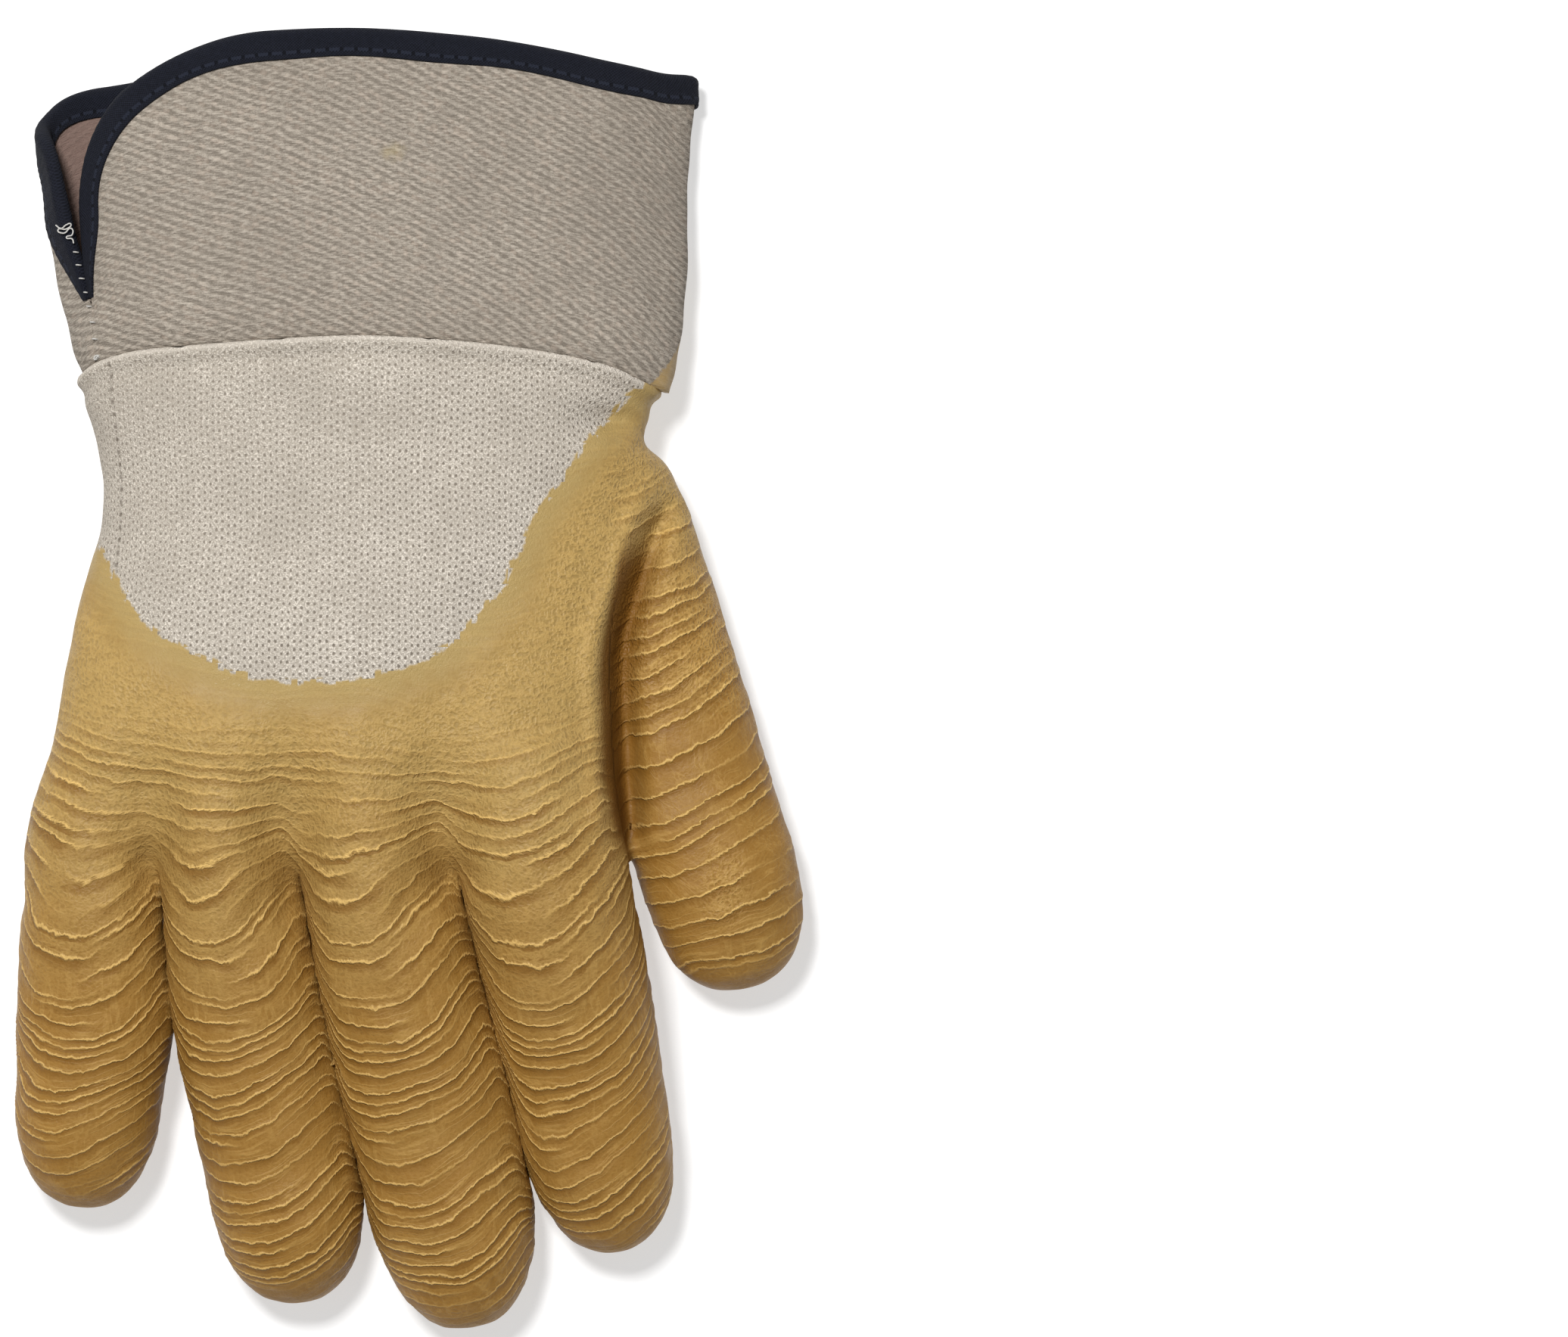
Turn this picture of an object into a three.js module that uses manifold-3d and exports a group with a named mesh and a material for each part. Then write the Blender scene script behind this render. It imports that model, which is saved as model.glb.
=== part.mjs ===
// An insulated work glove for the right hand, lying on its palm with its back up.
// A padded knit hand is dipped in latex over the palm, the fingers and the thumb, and left bare on
// the back. A drill cuff is sewn to its wrist, slit on the little finger side and bound with tape.
//
// Millimetres. +X is the thumb side, +Y points from the fingertips to the cuff, +Z is up.
// The origin is at the middle of the glove's outline, on the surface that it lies on.

import * as THREE from "three";
import { mergeVertices } from "three/addons/utils/BufferGeometryUtils.js";
import Module from "manifold-3d";

const wasm = await Module();
wasm.setup();

const HAND_WALL = 2.6;
const CANVAS_WALL = 1.8;
const TAPE_WALL = 1;
const PIECE_GAP = 0.3;
const SEAM_GAP = 0.55;
const BINDING_DEPTH = 4.5;

// The wrist seam, seen from above: it arches over the hand and drops at both sides.
const SEAM = [
  { x: 64, y: 54.8 },
  { x: 57, y: 58.2 },
  { x: 50, y: 61.2 },
  { x: 43, y: 64.4 },
  { x: 34, y: 66.6 },
  { x: 24, y: 68.2 },
  { x: 10, y: 69.7 },
  { x: -8, y: 70.7 },
  { x: -26, y: 70 },
  { x: -44, y: 68.7 },
  { x: -56, y: 67.6 },
  { x: -64, y: 65.4 },
  { x: -69, y: 62 },
  { x: -75, y: 57.6 },
];

// The palm's sections, from the wrist to the knuckles. Its far end closes in a blunt cap.
const PALM = [
  { y: 78, left: -68.4, right: 55.4, bottom: 0, top: 31.5 },
  { y: 66, left: -68.8, right: 55.2, bottom: 0, top: 31.8 },
  { y: 59, left: -67.7, right: 52.4, bottom: -1, top: 32.6 },
  { y: 51, left: -64.6, right: 48.6, bottom: -1, top: 34 },
  { y: 40, left: -62.9, right: 49, bottom: -1, top: 36.6 },
  { y: 30, left: -63.2, right: 48.4, bottom: -0.8, top: 38.6 },
  { y: 18, left: -67, right: 46.2, bottom: -0.4, top: 40.8 },
  { y: 4, left: -70.3, right: 43.6, bottom: 2, top: 42.6 },
  { y: -14, left: -74.4, right: 42.8, bottom: 6, top: 43.2 },
  { y: -27, left: -77, right: 43.4, bottom: 8.5, top: 40.6 },
  { y: -35, left: -76.8, right: 43.4, bottom: 11, top: 37 },
  { y: -40, left: -72.5, right: 39, bottom: 15, top: 32 },
];

// Each digit's sections, from inside the palm outwards, and its tip.
const DIGITS = {
  little: {
    sections: [
      { y: -14, x: -62.4, z: 22.5, halfWidth: 12.4, halfHeight: 13 },
      { y: -30, x: -64.0, z: 22, halfWidth: 14.2, halfHeight: 14.5 },
      { y: -44, x: -64.6, z: 20.8, halfWidth: 14.3, halfHeight: 14.5 },
      { y: -62, x: -64.8, z: 17.6, halfWidth: 15.6, halfHeight: 14.6 },
      { y: -85, x: -66.0, z: 13.8, halfWidth: 15.2, halfHeight: 14.2 },
    ],
    tip: { x: -68, y: -110.3, z: 11.5 },
  },
  ring: {
    sections: [
      { y: -14, x: -40.2, z: 26, halfWidth: 12.5, halfHeight: 14.5 },
      { y: -30, x: -37.7, z: 25.8, halfWidth: 14.4, halfHeight: 16.2 },
      { y: -44, x: -35.8, z: 24.4, halfWidth: 14.3, halfHeight: 16 },
      { y: -72, x: -31.8, z: 19, halfWidth: 14.9, halfHeight: 15.2 },
      { y: -104, x: -26.2, z: 13.6, halfWidth: 15.2, halfHeight: 14.2 },
    ],
    tip: { x: -22.2, y: -130.2, z: 11.5 },
  },
  middle: {
    sections: [
      { y: -14, x: -10.4, z: 27, halfWidth: 13.5, halfHeight: 15 },
      { y: -30, x: -7.4, z: 26.8, halfWidth: 15.7, halfHeight: 16.6 },
      { y: -44, x: -4.7, z: 25.2, halfWidth: 16.0, halfHeight: 16.4 },
      { y: -72, x: 0.8, z: 19.6, halfWidth: 17.0, halfHeight: 15.8 },
      { y: -103, x: 8.0, z: 14.2, halfWidth: 17.0, halfHeight: 14.8 },
    ],
    tip: { x: 13.4, y: -135.2, z: 12 },
  },
  index: {
    sections: [
      { y: -14, x: 24, z: 27.4, halfWidth: 15, halfHeight: 15 },
      { y: -30, x: 26.6, z: 27, halfWidth: 16.8, halfHeight: 16.5 },
      { y: -44, x: 29.2, z: 25.4, halfWidth: 16.7, halfHeight: 16.4 },
      { y: -66, x: 33.8, z: 20.6, halfWidth: 16.2, halfHeight: 15.6 },
      { y: -90, x: 38.6, z: 14.8, halfWidth: 15.2, halfHeight: 14.6 },
    ],
    tip: { x: 43.8, y: -119.5, z: 12 },
  },
  thumb: {
    sections: [
      { y: 53, x: 39, z: 14, halfWidth: 7, halfHeight: 7 },
      { y: 45, x: 38.4, z: 13.5, halfWidth: 14.6, halfHeight: 13.5 },
      { y: 30, x: 41.6, z: 13, halfWidth: 17.8, halfHeight: 13.5 },
      { y: 10, x: 46.6, z: 12.5, halfWidth: 19.2, halfHeight: 13 },
      { y: -8, x: 53.4, z: 12.3, halfWidth: 17.9, halfHeight: 12.8 },
      { y: -24, x: 59.7, z: 12.3, halfWidth: 16.5, halfHeight: 12.8 },
      { y: -41, x: 65.1, z: 12.4, halfWidth: 16.4, halfHeight: 12.9 },
    ],
    tip: { x: 71, y: -64.2, z: 11.5 },
  },
};
const POINTS = { palm: 32, digit: 16 };
const INNER_POINTS = { palm: 24, digit: 12 };
const CAP_TURNS = [24, 46, 66, 82];
const RIB_PITCH = 9.5;
const RIB_HEIGHT = 0.5;
const PALM_SQUARENESS = 2.5;
const DIGIT_SQUARENESS = 2.15;
const CAP_SQUARENESS = 2.3;

// The bare knit of the back, seen from above: a deep U from the wrist, open at the little finger side.
const BARE_KNIT = {
  floor: 15,
  middle: { x: -20, y: 60 },
  outline: [
    { x: 56, y: 68 },
    { x: 48, y: 60 },
    { x: 38, y: 49 },
    { x: 27, y: 33 },
    { x: 20, y: 18 },
    { x: 8, y: 6 },
    { x: -10, y: 0 },
    { x: -30, y: 0.5 },
    { x: -46, y: 7 },
    { x: -57, y: 17 },
    { x: -66, y: 30 },
  ],
};

// The cloth's middle line round the cuff: at the wrist seam, as a turn round the palm's section
// there, at the slit's foot, and at the mouth, where tall is the cloth's height above the seam. It
// runs from the slit's lower edge along the palm side to the fold on the thumb side, and back over
// the top to the slit's upper edge. The two edges meet at the wrist and at the foot.
const CUFF_LINE = [
  { name: "slit lower edge", turn: 157, footX: -66.6, footZ: 21.2, mouthX: -79.0, mouthZ: 14, tall: 57 },
  { name: "side bend", turn: 190, footX: -70.4, footZ: 12, mouthX: -77.4, mouthZ: 6, tall: 56 },
  { name: "heel, slit side", turn: 222, footX: -62, footZ: 3, mouthX: -66, mouthZ: 2.6, tall: 55.5 },
  { name: "palm, slit side", turn: 247, footX: -36, footZ: 1.1, mouthX: -39, mouthZ: 2.4, tall: 59.5 },
  { name: "palm middle", turn: 270, footX: -7, footZ: 1.05, mouthX: -8, mouthZ: 2.4, tall: 62.2 },
  { name: "palm, thumb side", turn: 293, footX: 23, footZ: 1.1, mouthX: 26, mouthZ: 2.4, tall: 60.5 },
  { name: "heel, thumb side", turn: 325, footX: 47, footZ: 3.6, mouthX: 51, mouthZ: 3, tall: 60.5 },
  { name: "fold", turn: 360, footX: 57.2, footZ: 12.5, mouthX: 60.7, mouthZ: 7.4, tall: 62.8 },
  { name: "back, thumb side", turn: 398, footX: 46, footZ: 23, mouthX: 49, mouthZ: 14, tall: 60.2 },
  { name: "back middle", turn: 434, footX: 15, footZ: 28.4, mouthX: 16, mouthZ: 21.5, tall: 62.2 },
  { name: "back, slit side", turn: 463, footX: -26, footZ: 29.8, mouthX: -29, mouthZ: 25.5, tall: 62.6 },
  { name: "shoulder", turn: 493, footX: -55, footZ: 27.6, mouthX: -56, mouthZ: 24, tall: 62 },
  { name: "slit upper edge", turn: 517, footX: -66.6, footZ: 21.2, mouthX: -68.5, mouthZ: 18.5, tall: 62 },
];
const SLIT_EASE = 0.8;
const SLIT_FOOT = 12.4;
const SLIT_OPEN = 62;
const PALM_CORNER = { across: 27, along: 21 };
const BACK_CORNER = { across: 42, along: 32 };
const CORNER_COLUMNS = 9;
const PLAIN_COLUMNS = 30;
const CUFF_ROWS = 8;
const CUFF_CLOSED_ROWS = 2;
const BINDING_START = 17;
const BINDING_SLIT_STEPS = 4;

// Lengths further than any part of the glove, for blocks that cut it, and the step of a slope.
const FAR = 200;
const SLOPE_STEP = 0.5;
const MERGE_WITHIN = 1e-4;
const SEAM_STEPS = 66;
const KNIT_EDGE_STEPS = 3;

const LATEX = { color: 0xc49a58, roughness: 0.62, metalness: 0 };
const KNIT = { color: 0xcfc5b4, roughness: 0.92, metalness: 0 };
const DRILL = { color: 0xbcaea0, roughness: 0.9, metalness: 0 };
const TAPE = { color: 0x141a2c, roughness: 0.8, metalness: 0 };

// Joins rings of one point count into a closed body, with a fan over each end.
function loft(rings) {
  const count = rings[0].length;
  const middleOf = (ring) =>
    ring.reduce((sum, p) => sum.add(p), new THREE.Vector3()).divideScalar(count);
  const first = rings.length * count;
  const last = first + 1;
  const points = [...rings.flat(), middleOf(rings[0]), middleOf(rings.at(-1))];
  const index = [];
  for (let i = 0; i < count; i++) {
    const next = (i + 1) % count;
    for (let r = 0; r + 1 < rings.length; r++) {
      const near = r * count;
      const far = near + count;
      index.push(near + i, near + next, far + next, near + i, far + next, far + i);
    }
    index.push(first, next, i);
    index.push(last, first - count + i, first - count + next);
  }
  return new THREE.BufferGeometry().setFromPoints(points).setIndex(index);
}

// A superellipse in the plane at y.
function section({ y, x, z, halfWidth, halfHeight }, squareness, count) {
  const share = (t) => Math.sign(t) * Math.abs(t) ** (2 / squareness);
  return Array.from({ length: count }, (_, i) => {
    const turn = (2 * Math.PI * (i + 0.5)) / count;
    const across = halfWidth * share(Math.cos(turn));
    return new THREE.Vector3(x + across, y, z + halfHeight * share(Math.sin(turn)));
  });
}

// The palm's loft, with its wall taken in by inset.
function palmLoft(inset, points) {
  const last = PALM.length - 1;
  const rings = PALM.map(({ y, left, right, bottom, top }, i) => {
    const middle = { x: (left + right) / 2, z: (bottom + top) / 2 };
    const halfWidth = (right - left) / 2 - inset;
    const halfHeight = (top - bottom) / 2 - inset;
    const shift = i === 0 || i === last ? inset : 0;
    return section({ ...middle, y: y + shift, halfWidth, halfHeight }, PALM_SQUARENESS, points);
  });
  return loft(rings);
}

// A digit's loft: a bent tube through its sections, ribbed across by rib, then a round cap.
function digitLoft({ sections, tip }, inset, rib, points) {
  const end = sections.at(-1);
  const centres = [...sections, tip].map(({ x, y, z }) => new THREE.Vector3(x, y, z));
  const line = new THREE.CatmullRomCurve3(centres);
  const steps = sections.length - 1;
  const girth = (turn, key) => {
    const place = THREE.MathUtils.clamp(turn * (steps + 1), 0, steps);
    const i = Math.min(Math.floor(place), steps - 1);
    return THREE.MathUtils.lerp(sections[i][key], sections[i + 1][key], place - i);
  };
  const ring = (turn, share, swell) => {
    const centre = line.getPoint(turn);
    const onward = line.getTangent(turn).setZ(0).normalize();
    const across = new THREE.Vector3(-onward.y, onward.x, 0);
    const halfWidth = (girth(turn, "halfWidth") - inset) * share + swell;
    const halfHeight = (girth(turn, "halfHeight") - inset) * share + swell;
    const flat = section({ x: 0, y: 0, z: 0, halfWidth, halfHeight }, DIGIT_SQUARENESS, points);
    return flat.map((p) => centre.clone().addScaledVector(across, p.x).setZ(centre.z + p.z));
  };
  const capStart = steps / (steps + 1);
  const length = line.getLength() * capStart;
  const count = rib ? 2 * Math.round(length / RIB_PITCH) : 2 * steps;
  const rings = [];
  for (let i = 0; i <= count; i++) rings.push(ring((capStart * i) / count, 1, i % 2 ? rib : 0));
  for (const degrees of CAP_TURNS) {
    const turn = THREE.MathUtils.degToRad(degrees);
    const [out, share] = [Math.sin(turn), Math.cos(turn)].map((t) => t ** (2 / CAP_SQUARENESS));
    const reach = 1 - inset / (end.y - tip.y);
    rings.push(ring(capStart + (1 - capStart) * reach * out, share, 0));
  }
  return loft(rings);
}

// A closed mesh as a solid that can be cut and joined.
function solidOf(geometry) {
  const bare = geometry.index ? geometry.toNonIndexed() : geometry.clone();
  bare.deleteAttribute("normal");
  bare.deleteAttribute("uv");
  const merged = mergeVertices(bare, MERGE_WITHIN);
  return new wasm.Manifold(
    new wasm.Mesh({
      numProp: 3,
      vertProperties: merged.attributes.position.array,
      triVerts: new Uint32Array(merged.index.array),
    }),
  );
}

function geometryOf(solid) {
  const { vertProperties, triVerts } = solid.getMesh();
  const geometry = new THREE.BufferGeometry();
  geometry.setAttribute("position", new THREE.BufferAttribute(vertProperties, 3));
  geometry.setIndex(new THREE.BufferAttribute(triVerts, 1));
  geometry.computeVertexNormals();
  return geometry;
}

function boxSolid(low, high) {
  const size = new THREE.Vector3().subVectors(high, low);
  const box = new THREE.BoxGeometry(size.x, size.y, size.z);
  box.translate(low.x + size.x / 2, low.y + size.y / 2, low.z + size.z / 2);
  return solidOf(box);
}

// The whole hand's form, taken in by inset and flat where it would pass below floor.
function handForm(inset, floor, rib, points) {
  const digits = Object.values(DIGITS).map((digit) => digitLoft(digit, inset, rib, points.digit));
  const lofts = [palmLoft(inset, points.palm), ...digits];
  const joined = lofts.map(solidOf).reduce((whole, next) => whole.add(next));
  const above = boxSolid(new THREE.Vector3(-FAR, -FAR, floor), new THREE.Vector3(FAR, FAR, FAR));
  return joined.intersect(above);
}

const seamCurve = new THREE.SplineCurve(SEAM.map(({ x, y }) => new THREE.Vector2(x, y)));
const seamLine = seamCurve.getPoints(SEAM_STEPS);

function seamY(x) {
  const i = Math.max(seamLine.findIndex((p) => p.x <= x), 1);
  const [before, after] = [seamLine[i - 1], seamLine[i]];
  return THREE.MathUtils.mapLinear(x, before.x, after.x, before.y, after.y);
}

// Everything beyond the wrist seam, as one block with the seam for its near side.
function beyondWrist() {
  const corners = [
    [-FAR, 0],
    [-FAR, FAR],
    [FAR, FAR],
    [FAR, 0],
  ];
  const shape = new THREE.Shape([...seamLine, ...corners.map(([x, y]) => new THREE.Vector2(x, y))]);
  const block = new THREE.ExtrudeGeometry(shape, { depth: 2 * FAR, bevelEnabled: false });
  return solidOf(block.translate(0, 0, -FAR));
}

// The block over the bare knit, grown by margin all round.
function knitBlock(margin) {
  const { floor, middle, outline } = BARE_KNIT;
  const inside = new THREE.Vector2(middle.x, middle.y);
  const points = outline.map(({ x, y }) => {
    const point = new THREE.Vector2(x, y);
    const outward = point.clone().sub(inside).setLength(margin);
    return point.add(outward);
  });
  const shape = new THREE.Shape();
  shape.moveTo(-FAR, FAR);
  shape.lineTo(points[0].x, FAR);
  shape.lineTo(points[0].x, points[0].y);
  shape.splineThru(points.slice(1));
  shape.lineTo(-FAR, points.at(-1).y);
  const settings = { depth: FAR, bevelEnabled: false, curveSegments: KNIT_EDGE_STEPS };
  return solidOf(new THREE.ExtrudeGeometry(shape, settings).translate(0, 0, floor - margin));
}

// The drill cloth of the cuff as a curved sheet: a point at across, in millimetres along the wrist
// seam's cloth from the slit's lower edge, and at along, in millimetres from the seam to the mouth.
class CuffCloth {
  constructor() {
    const ring = (points) => new THREE.CatmullRomCurve3(points.slice(0, -1), true);
    const { y, left, right, bottom, top } = PALM[1];
    const wrist = CUFF_LINE.map(({ turn }) => {
      const share = (t) => Math.sign(t) * Math.abs(t) ** (2 / PALM_SQUARENESS);
      const angle = THREE.MathUtils.degToRad(turn);
      const across = ((right - left) / 2 - CANVAS_WALL / 2) * share(Math.cos(angle));
      const up = ((top - bottom) / 2 - CANVAS_WALL / 2) * share(Math.sin(angle));
      return new THREE.Vector3((left + right) / 2 + across, y, (bottom + top) / 2 + up);
    });
    const mouth = CUFF_LINE.map(({ mouthX, tall, mouthZ }) => new THREE.Vector3(mouthX, tall, mouthZ));
    this.wrist = ring(wrist);
    this.foot = ring(CUFF_LINE.map(({ footX, footZ }) => new THREE.Vector3(footX, 0, footZ)));
    this.mouth = new THREE.CatmullRomCurve3(mouth);
    this.length = this.mouth.getLength();
  }

  // Beyond the cloth's two ends the place runs straight on.
  point(across, along) {
    const within = THREE.MathUtils.clamp(across, 0, this.length);
    if (across !== within) {
      const inside = Math.abs(within - SLOPE_STEP * Math.sign(across));
      const end = this.point(within, along);
      const onward = end.clone().sub(this.point(inside, along)).normalize();
      return end.addScaledVector(onward, Math.abs(across - within));
    }
    const turn = this.mouth.getUtoTmapping(within / this.length);
    const atWrist = this.wrist.getPoint(turn);
    const lower = atWrist.clone().lerp(this.foot.getPoint(turn), Math.min(along / SLIT_FOOT, 1));
    const opened = THREE.MathUtils.clamp((along - SLIT_FOOT) / (SLIT_OPEN - SLIT_FOOT), 0, 1);
    const place = lower.lerp(this.mouth.getPoint(turn), opened ** SLIT_EASE);
    place.y = seamY(atWrist.x) + SEAM_GAP + along;
    return place;
  }

  // The cloth's outward normal.
  normal(across, along) {
    const a = THREE.MathUtils.clamp(across, SLOPE_STEP, this.length - SLOPE_STEP);
    const acrossWay = this.point(a + SLOPE_STEP, along).sub(this.point(a - SLOPE_STEP, along));
    const alongWay = this.point(a, along + SLOPE_STEP).sub(this.point(a, along - SLOPE_STEP));
    return alongWay.cross(acrossWay).normalize();
  }

  // The columns' places across the cloth: closer together at the two rounded corners.
  columns() {
    const places = (count, place) => Array.from({ length: count }, (_, i) => place(i));
    const corner = (width) =>
      places(CORNER_COLUMNS, (i) => width * (1 - Math.cos((Math.PI * i) / (2 * CORNER_COLUMNS))));
    const first = PALM_CORNER.across;
    const last = this.length - BACK_CORNER.across;
    const plain = places(PLAIN_COLUMNS + 1, (i) => THREE.MathUtils.lerp(first, last, i / PLAIN_COLUMNS));
    const back = corner(BACK_CORNER.across).map((distance) => this.length - distance);
    return [...corner(PALM_CORNER.across), ...plain, ...back.reverse()];
  }

  // The cut edge's points, a column each.
  edge() {
    return this.columns().map((across) => new THREE.Vector2(across, this.height(across)));
  }

  // The height of the cloth's cut edge, which rounds off towards the slit.
  height(across) {
    const drop = (distance, { across: width, along: depth }) => {
      const short = Math.max(0, 1 - distance / width);
      return depth * (1 - Math.sqrt(1 - short * short));
    };
    const tall = this.mouth.getPointAt(across / this.length).y;
    return tall - drop(across, PALM_CORNER) - drop(this.length - across, BACK_CORNER);
  }
}

// A sheet's two faces and its edges as one closed body. place(i, j, side) gives its points, and its
// two ends are joined over the rows up to closedRows.
function sheetBody(columns, rows, closedRows, place) {
  const points = [];
  for (const side of [0, 1])
    for (let i = 0; i <= columns; i++) for (let j = 0; j <= rows; j++) points.push(place(i, j, side));
  const at = (i, j, side) => {
    const column = i === columns && j <= closedRows ? 0 : i;
    return (side * (columns + 1) + column) * (rows + 1) + j;
  };
  const index = [];
  const quad = (a, b, c, d) => index.push(a, b, c, a, c, d);
  for (let i = 0; i < columns; i++) {
    for (let j = 0; j < rows; j++) {
      quad(at(i, j, 0), at(i + 1, j, 0), at(i + 1, j + 1, 0), at(i, j + 1, 0));
      quad(at(i, j, 1), at(i, j + 1, 1), at(i + 1, j + 1, 1), at(i + 1, j, 1));
    }
    quad(at(i, 0, 1), at(i + 1, 0, 1), at(i + 1, 0, 0), at(i, 0, 0));
    quad(at(i, rows, 1), at(i, rows, 0), at(i + 1, rows, 0), at(i + 1, rows, 1));
  }
  for (let j = closedRows; j < rows; j++) {
    quad(at(0, j, 1), at(0, j, 0), at(0, j + 1, 0), at(0, j + 1, 1));
    quad(at(columns, j, 1), at(columns, j + 1, 1), at(columns, j + 1, 0), at(columns, j, 0));
  }
  return new THREE.BufferGeometry().setFromPoints(points).setIndex(index);
}

// The way out of the cloth at each point of a line along its free edge.
function outwardsOf(line) {
  return line.map((_, i) => {
    const before = line[Math.max(i - 1, 0)];
    const after = line[Math.min(i + 1, line.length - 1)];
    return new THREE.Vector2(before.y - after.y, after.x - before.x).normalize();
  });
}

// The cuff's cloth at a thickness, its free edges carried on by margin.
function cuffGeometry(cloth, thickness, margin) {
  const edge = cloth.edge();
  const outwards = outwardsOf(edge);
  const last = edge.length - 1;
  return sheetBody(last, CUFF_ROWS, CUFF_CLOSED_ROWS, (i, j, side) => {
    const upper = Math.max(0, (j - CUFF_CLOSED_ROWS) / (CUFF_ROWS - CUFF_CLOSED_ROWS));
    const closed = Math.min(1, j / CUFF_CLOSED_ROWS);
    const along = THREE.MathUtils.lerp(SLIT_FOOT * closed, edge[i].y, upper);
    const share = upper > 0 && (i === 0 || i === last) ? 1 : upper;
    const place = new THREE.Vector2(edge[i].x, along).addScaledVector(outwards[i], margin * share);
    const outward = cloth.normal(place.x, place.y).multiplyScalar((side - 0.5) * thickness);
    return cloth.point(place.x, place.y).add(outward);
  });
}

// The tape over the cloth's free edge, from the foot of the slit, round the mouth and back, before
// the cloth's room is cut out of it.
function tapeGeometry(cloth) {
  const places = cloth.edge();
  const slitPlace = (across, i) => {
    const share = i / BINDING_SLIT_STEPS;
    return new THREE.Vector2(across, THREE.MathUtils.lerp(BINDING_START, cloth.height(across), share));
  };
  for (let i = BINDING_SLIT_STEPS - 1; i >= 0; i--) {
    places.unshift(slitPlace(0, i));
    places.push(slitPlace(cloth.length, i));
  }
  const half = CANVAS_WALL / 2 + PIECE_GAP;
  const outer = half + TAPE_WALL;
  const profile = [
    { out: -BINDING_DEPTH, side: -outer },
    { out: 0, side: -outer },
    { out: PIECE_GAP + TAPE_WALL, side: -half },
    { out: PIECE_GAP + TAPE_WALL, side: half },
    { out: 0, side: outer },
    { out: -BINDING_DEPTH, side: outer },
  ];
  const outwards = outwardsOf(places);
  const rings = places.map((place, i) =>
    profile.map(({ out, side }) => {
      const { x, y } = place.clone().addScaledVector(outwards[i], out);
      return cloth.point(x, y).addScaledVector(cloth.normal(x, y), -side);
    }),
  );
  return profileBody(rings, profile.map(({ out, side }) => new THREE.Vector2(out, side)));
}

// Joins rings of a profile into a closed body, with its flat profile over each end.
function profileBody(rings, profile) {
  const count = profile.length;
  const index = [];
  for (let r = 0; r + 1 < rings.length; r++)
    for (let i = 0; i < count; i++) {
      const next = (i + 1) % count;
      const near = r * count;
      const far = near + count;
      index.push(near + i, near + next, far + next, near + i, far + next, far + i);
    }
  const end = (rings.length - 1) * count;
  for (const [a, b, c] of THREE.ShapeUtils.triangulateShape(profile, [])) {
    index.push(a, c, b);
    index.push(end + a, end + b, end + c);
  }
  return new THREE.BufferGeometry().setFromPoints(rings.flat()).setIndex(index);
}

function named(name, geometry, finish) {
  const mesh = new THREE.Mesh(geometry, new THREE.MeshStandardMaterial(finish));
  mesh.name = name;
  return mesh;
}

const handBody = handForm(0, 0, RIB_HEIGHT, POINTS);
const handHollow = handForm(HAND_WALL, HAND_WALL, 0, INNER_POINTS);
const handWall = handBody.subtract(handHollow).subtract(beyondWrist());
const cloth = new CuffCloth();
const cuff = solidOf(cuffGeometry(cloth, CANVAS_WALL, 0));
const cuffRoom = solidOf(cuffGeometry(cloth, CANVAS_WALL + 2 * PIECE_GAP, PIECE_GAP));
const tape = solidOf(tapeGeometry(cloth)).subtract(cuffRoom);

const glove = new THREE.Group();
glove.add(named("latex_hand", geometryOf(handWall.subtract(knitBlock(PIECE_GAP))), LATEX));
glove.add(named("knit_back", geometryOf(handWall.intersect(knitBlock(0))), KNIT));
glove.add(named("cuff", geometryOf(cuff), DRILL));
glove.add(named("cuff_binding", geometryOf(tape), TAPE));

export default glove;
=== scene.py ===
"""An insulated rigger glove for the right hand, lying on its palm with its back up.

A padded knit hand is dipped in latex over the palm, the fingers and the thumb, and left bare on
the back. A drill cuff is sewn to its wrist, slit on the little finger side and bound with tape.
Shapes are worked out in millimetres and written to the meshes in metres.
"""

import logging
import math
from collections.abc import Callable, Sequence
from dataclasses import dataclass
from enum import Enum
from typing import Any

import bmesh
import bpy
import numpy as np
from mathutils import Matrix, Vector


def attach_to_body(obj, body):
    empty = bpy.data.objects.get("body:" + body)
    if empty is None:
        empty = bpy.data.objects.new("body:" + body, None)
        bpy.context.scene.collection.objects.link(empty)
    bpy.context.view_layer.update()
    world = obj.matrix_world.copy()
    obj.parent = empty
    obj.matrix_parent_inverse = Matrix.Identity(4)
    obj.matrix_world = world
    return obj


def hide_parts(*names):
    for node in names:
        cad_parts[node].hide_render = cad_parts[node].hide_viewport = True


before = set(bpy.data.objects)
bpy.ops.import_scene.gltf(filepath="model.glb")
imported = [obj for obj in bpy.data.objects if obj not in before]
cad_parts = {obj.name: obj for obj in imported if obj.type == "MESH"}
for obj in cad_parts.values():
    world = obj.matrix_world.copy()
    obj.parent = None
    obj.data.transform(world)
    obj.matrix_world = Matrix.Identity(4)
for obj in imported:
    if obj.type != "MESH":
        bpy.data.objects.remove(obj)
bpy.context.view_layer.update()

LOG = logging.getLogger("glove")
MM = 0.001
UV_UNIT = 0.01
SAME_PLACE = 1e-6
SEED = 57

BMesh = bmesh.types.BMesh
Material = bpy.types.Material
Mesh = bpy.types.Mesh
Object = bpy.types.Object
Array = np.ndarray
Colour = tuple[float, float, float]
Place = Callable[[Array, Array], Array]


class Slot(Enum):
    """The record's material slots."""

    LATEX = "latex"
    KNIT = "knit"
    DRILL = "drill"
    TAPE = "tape"


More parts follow.
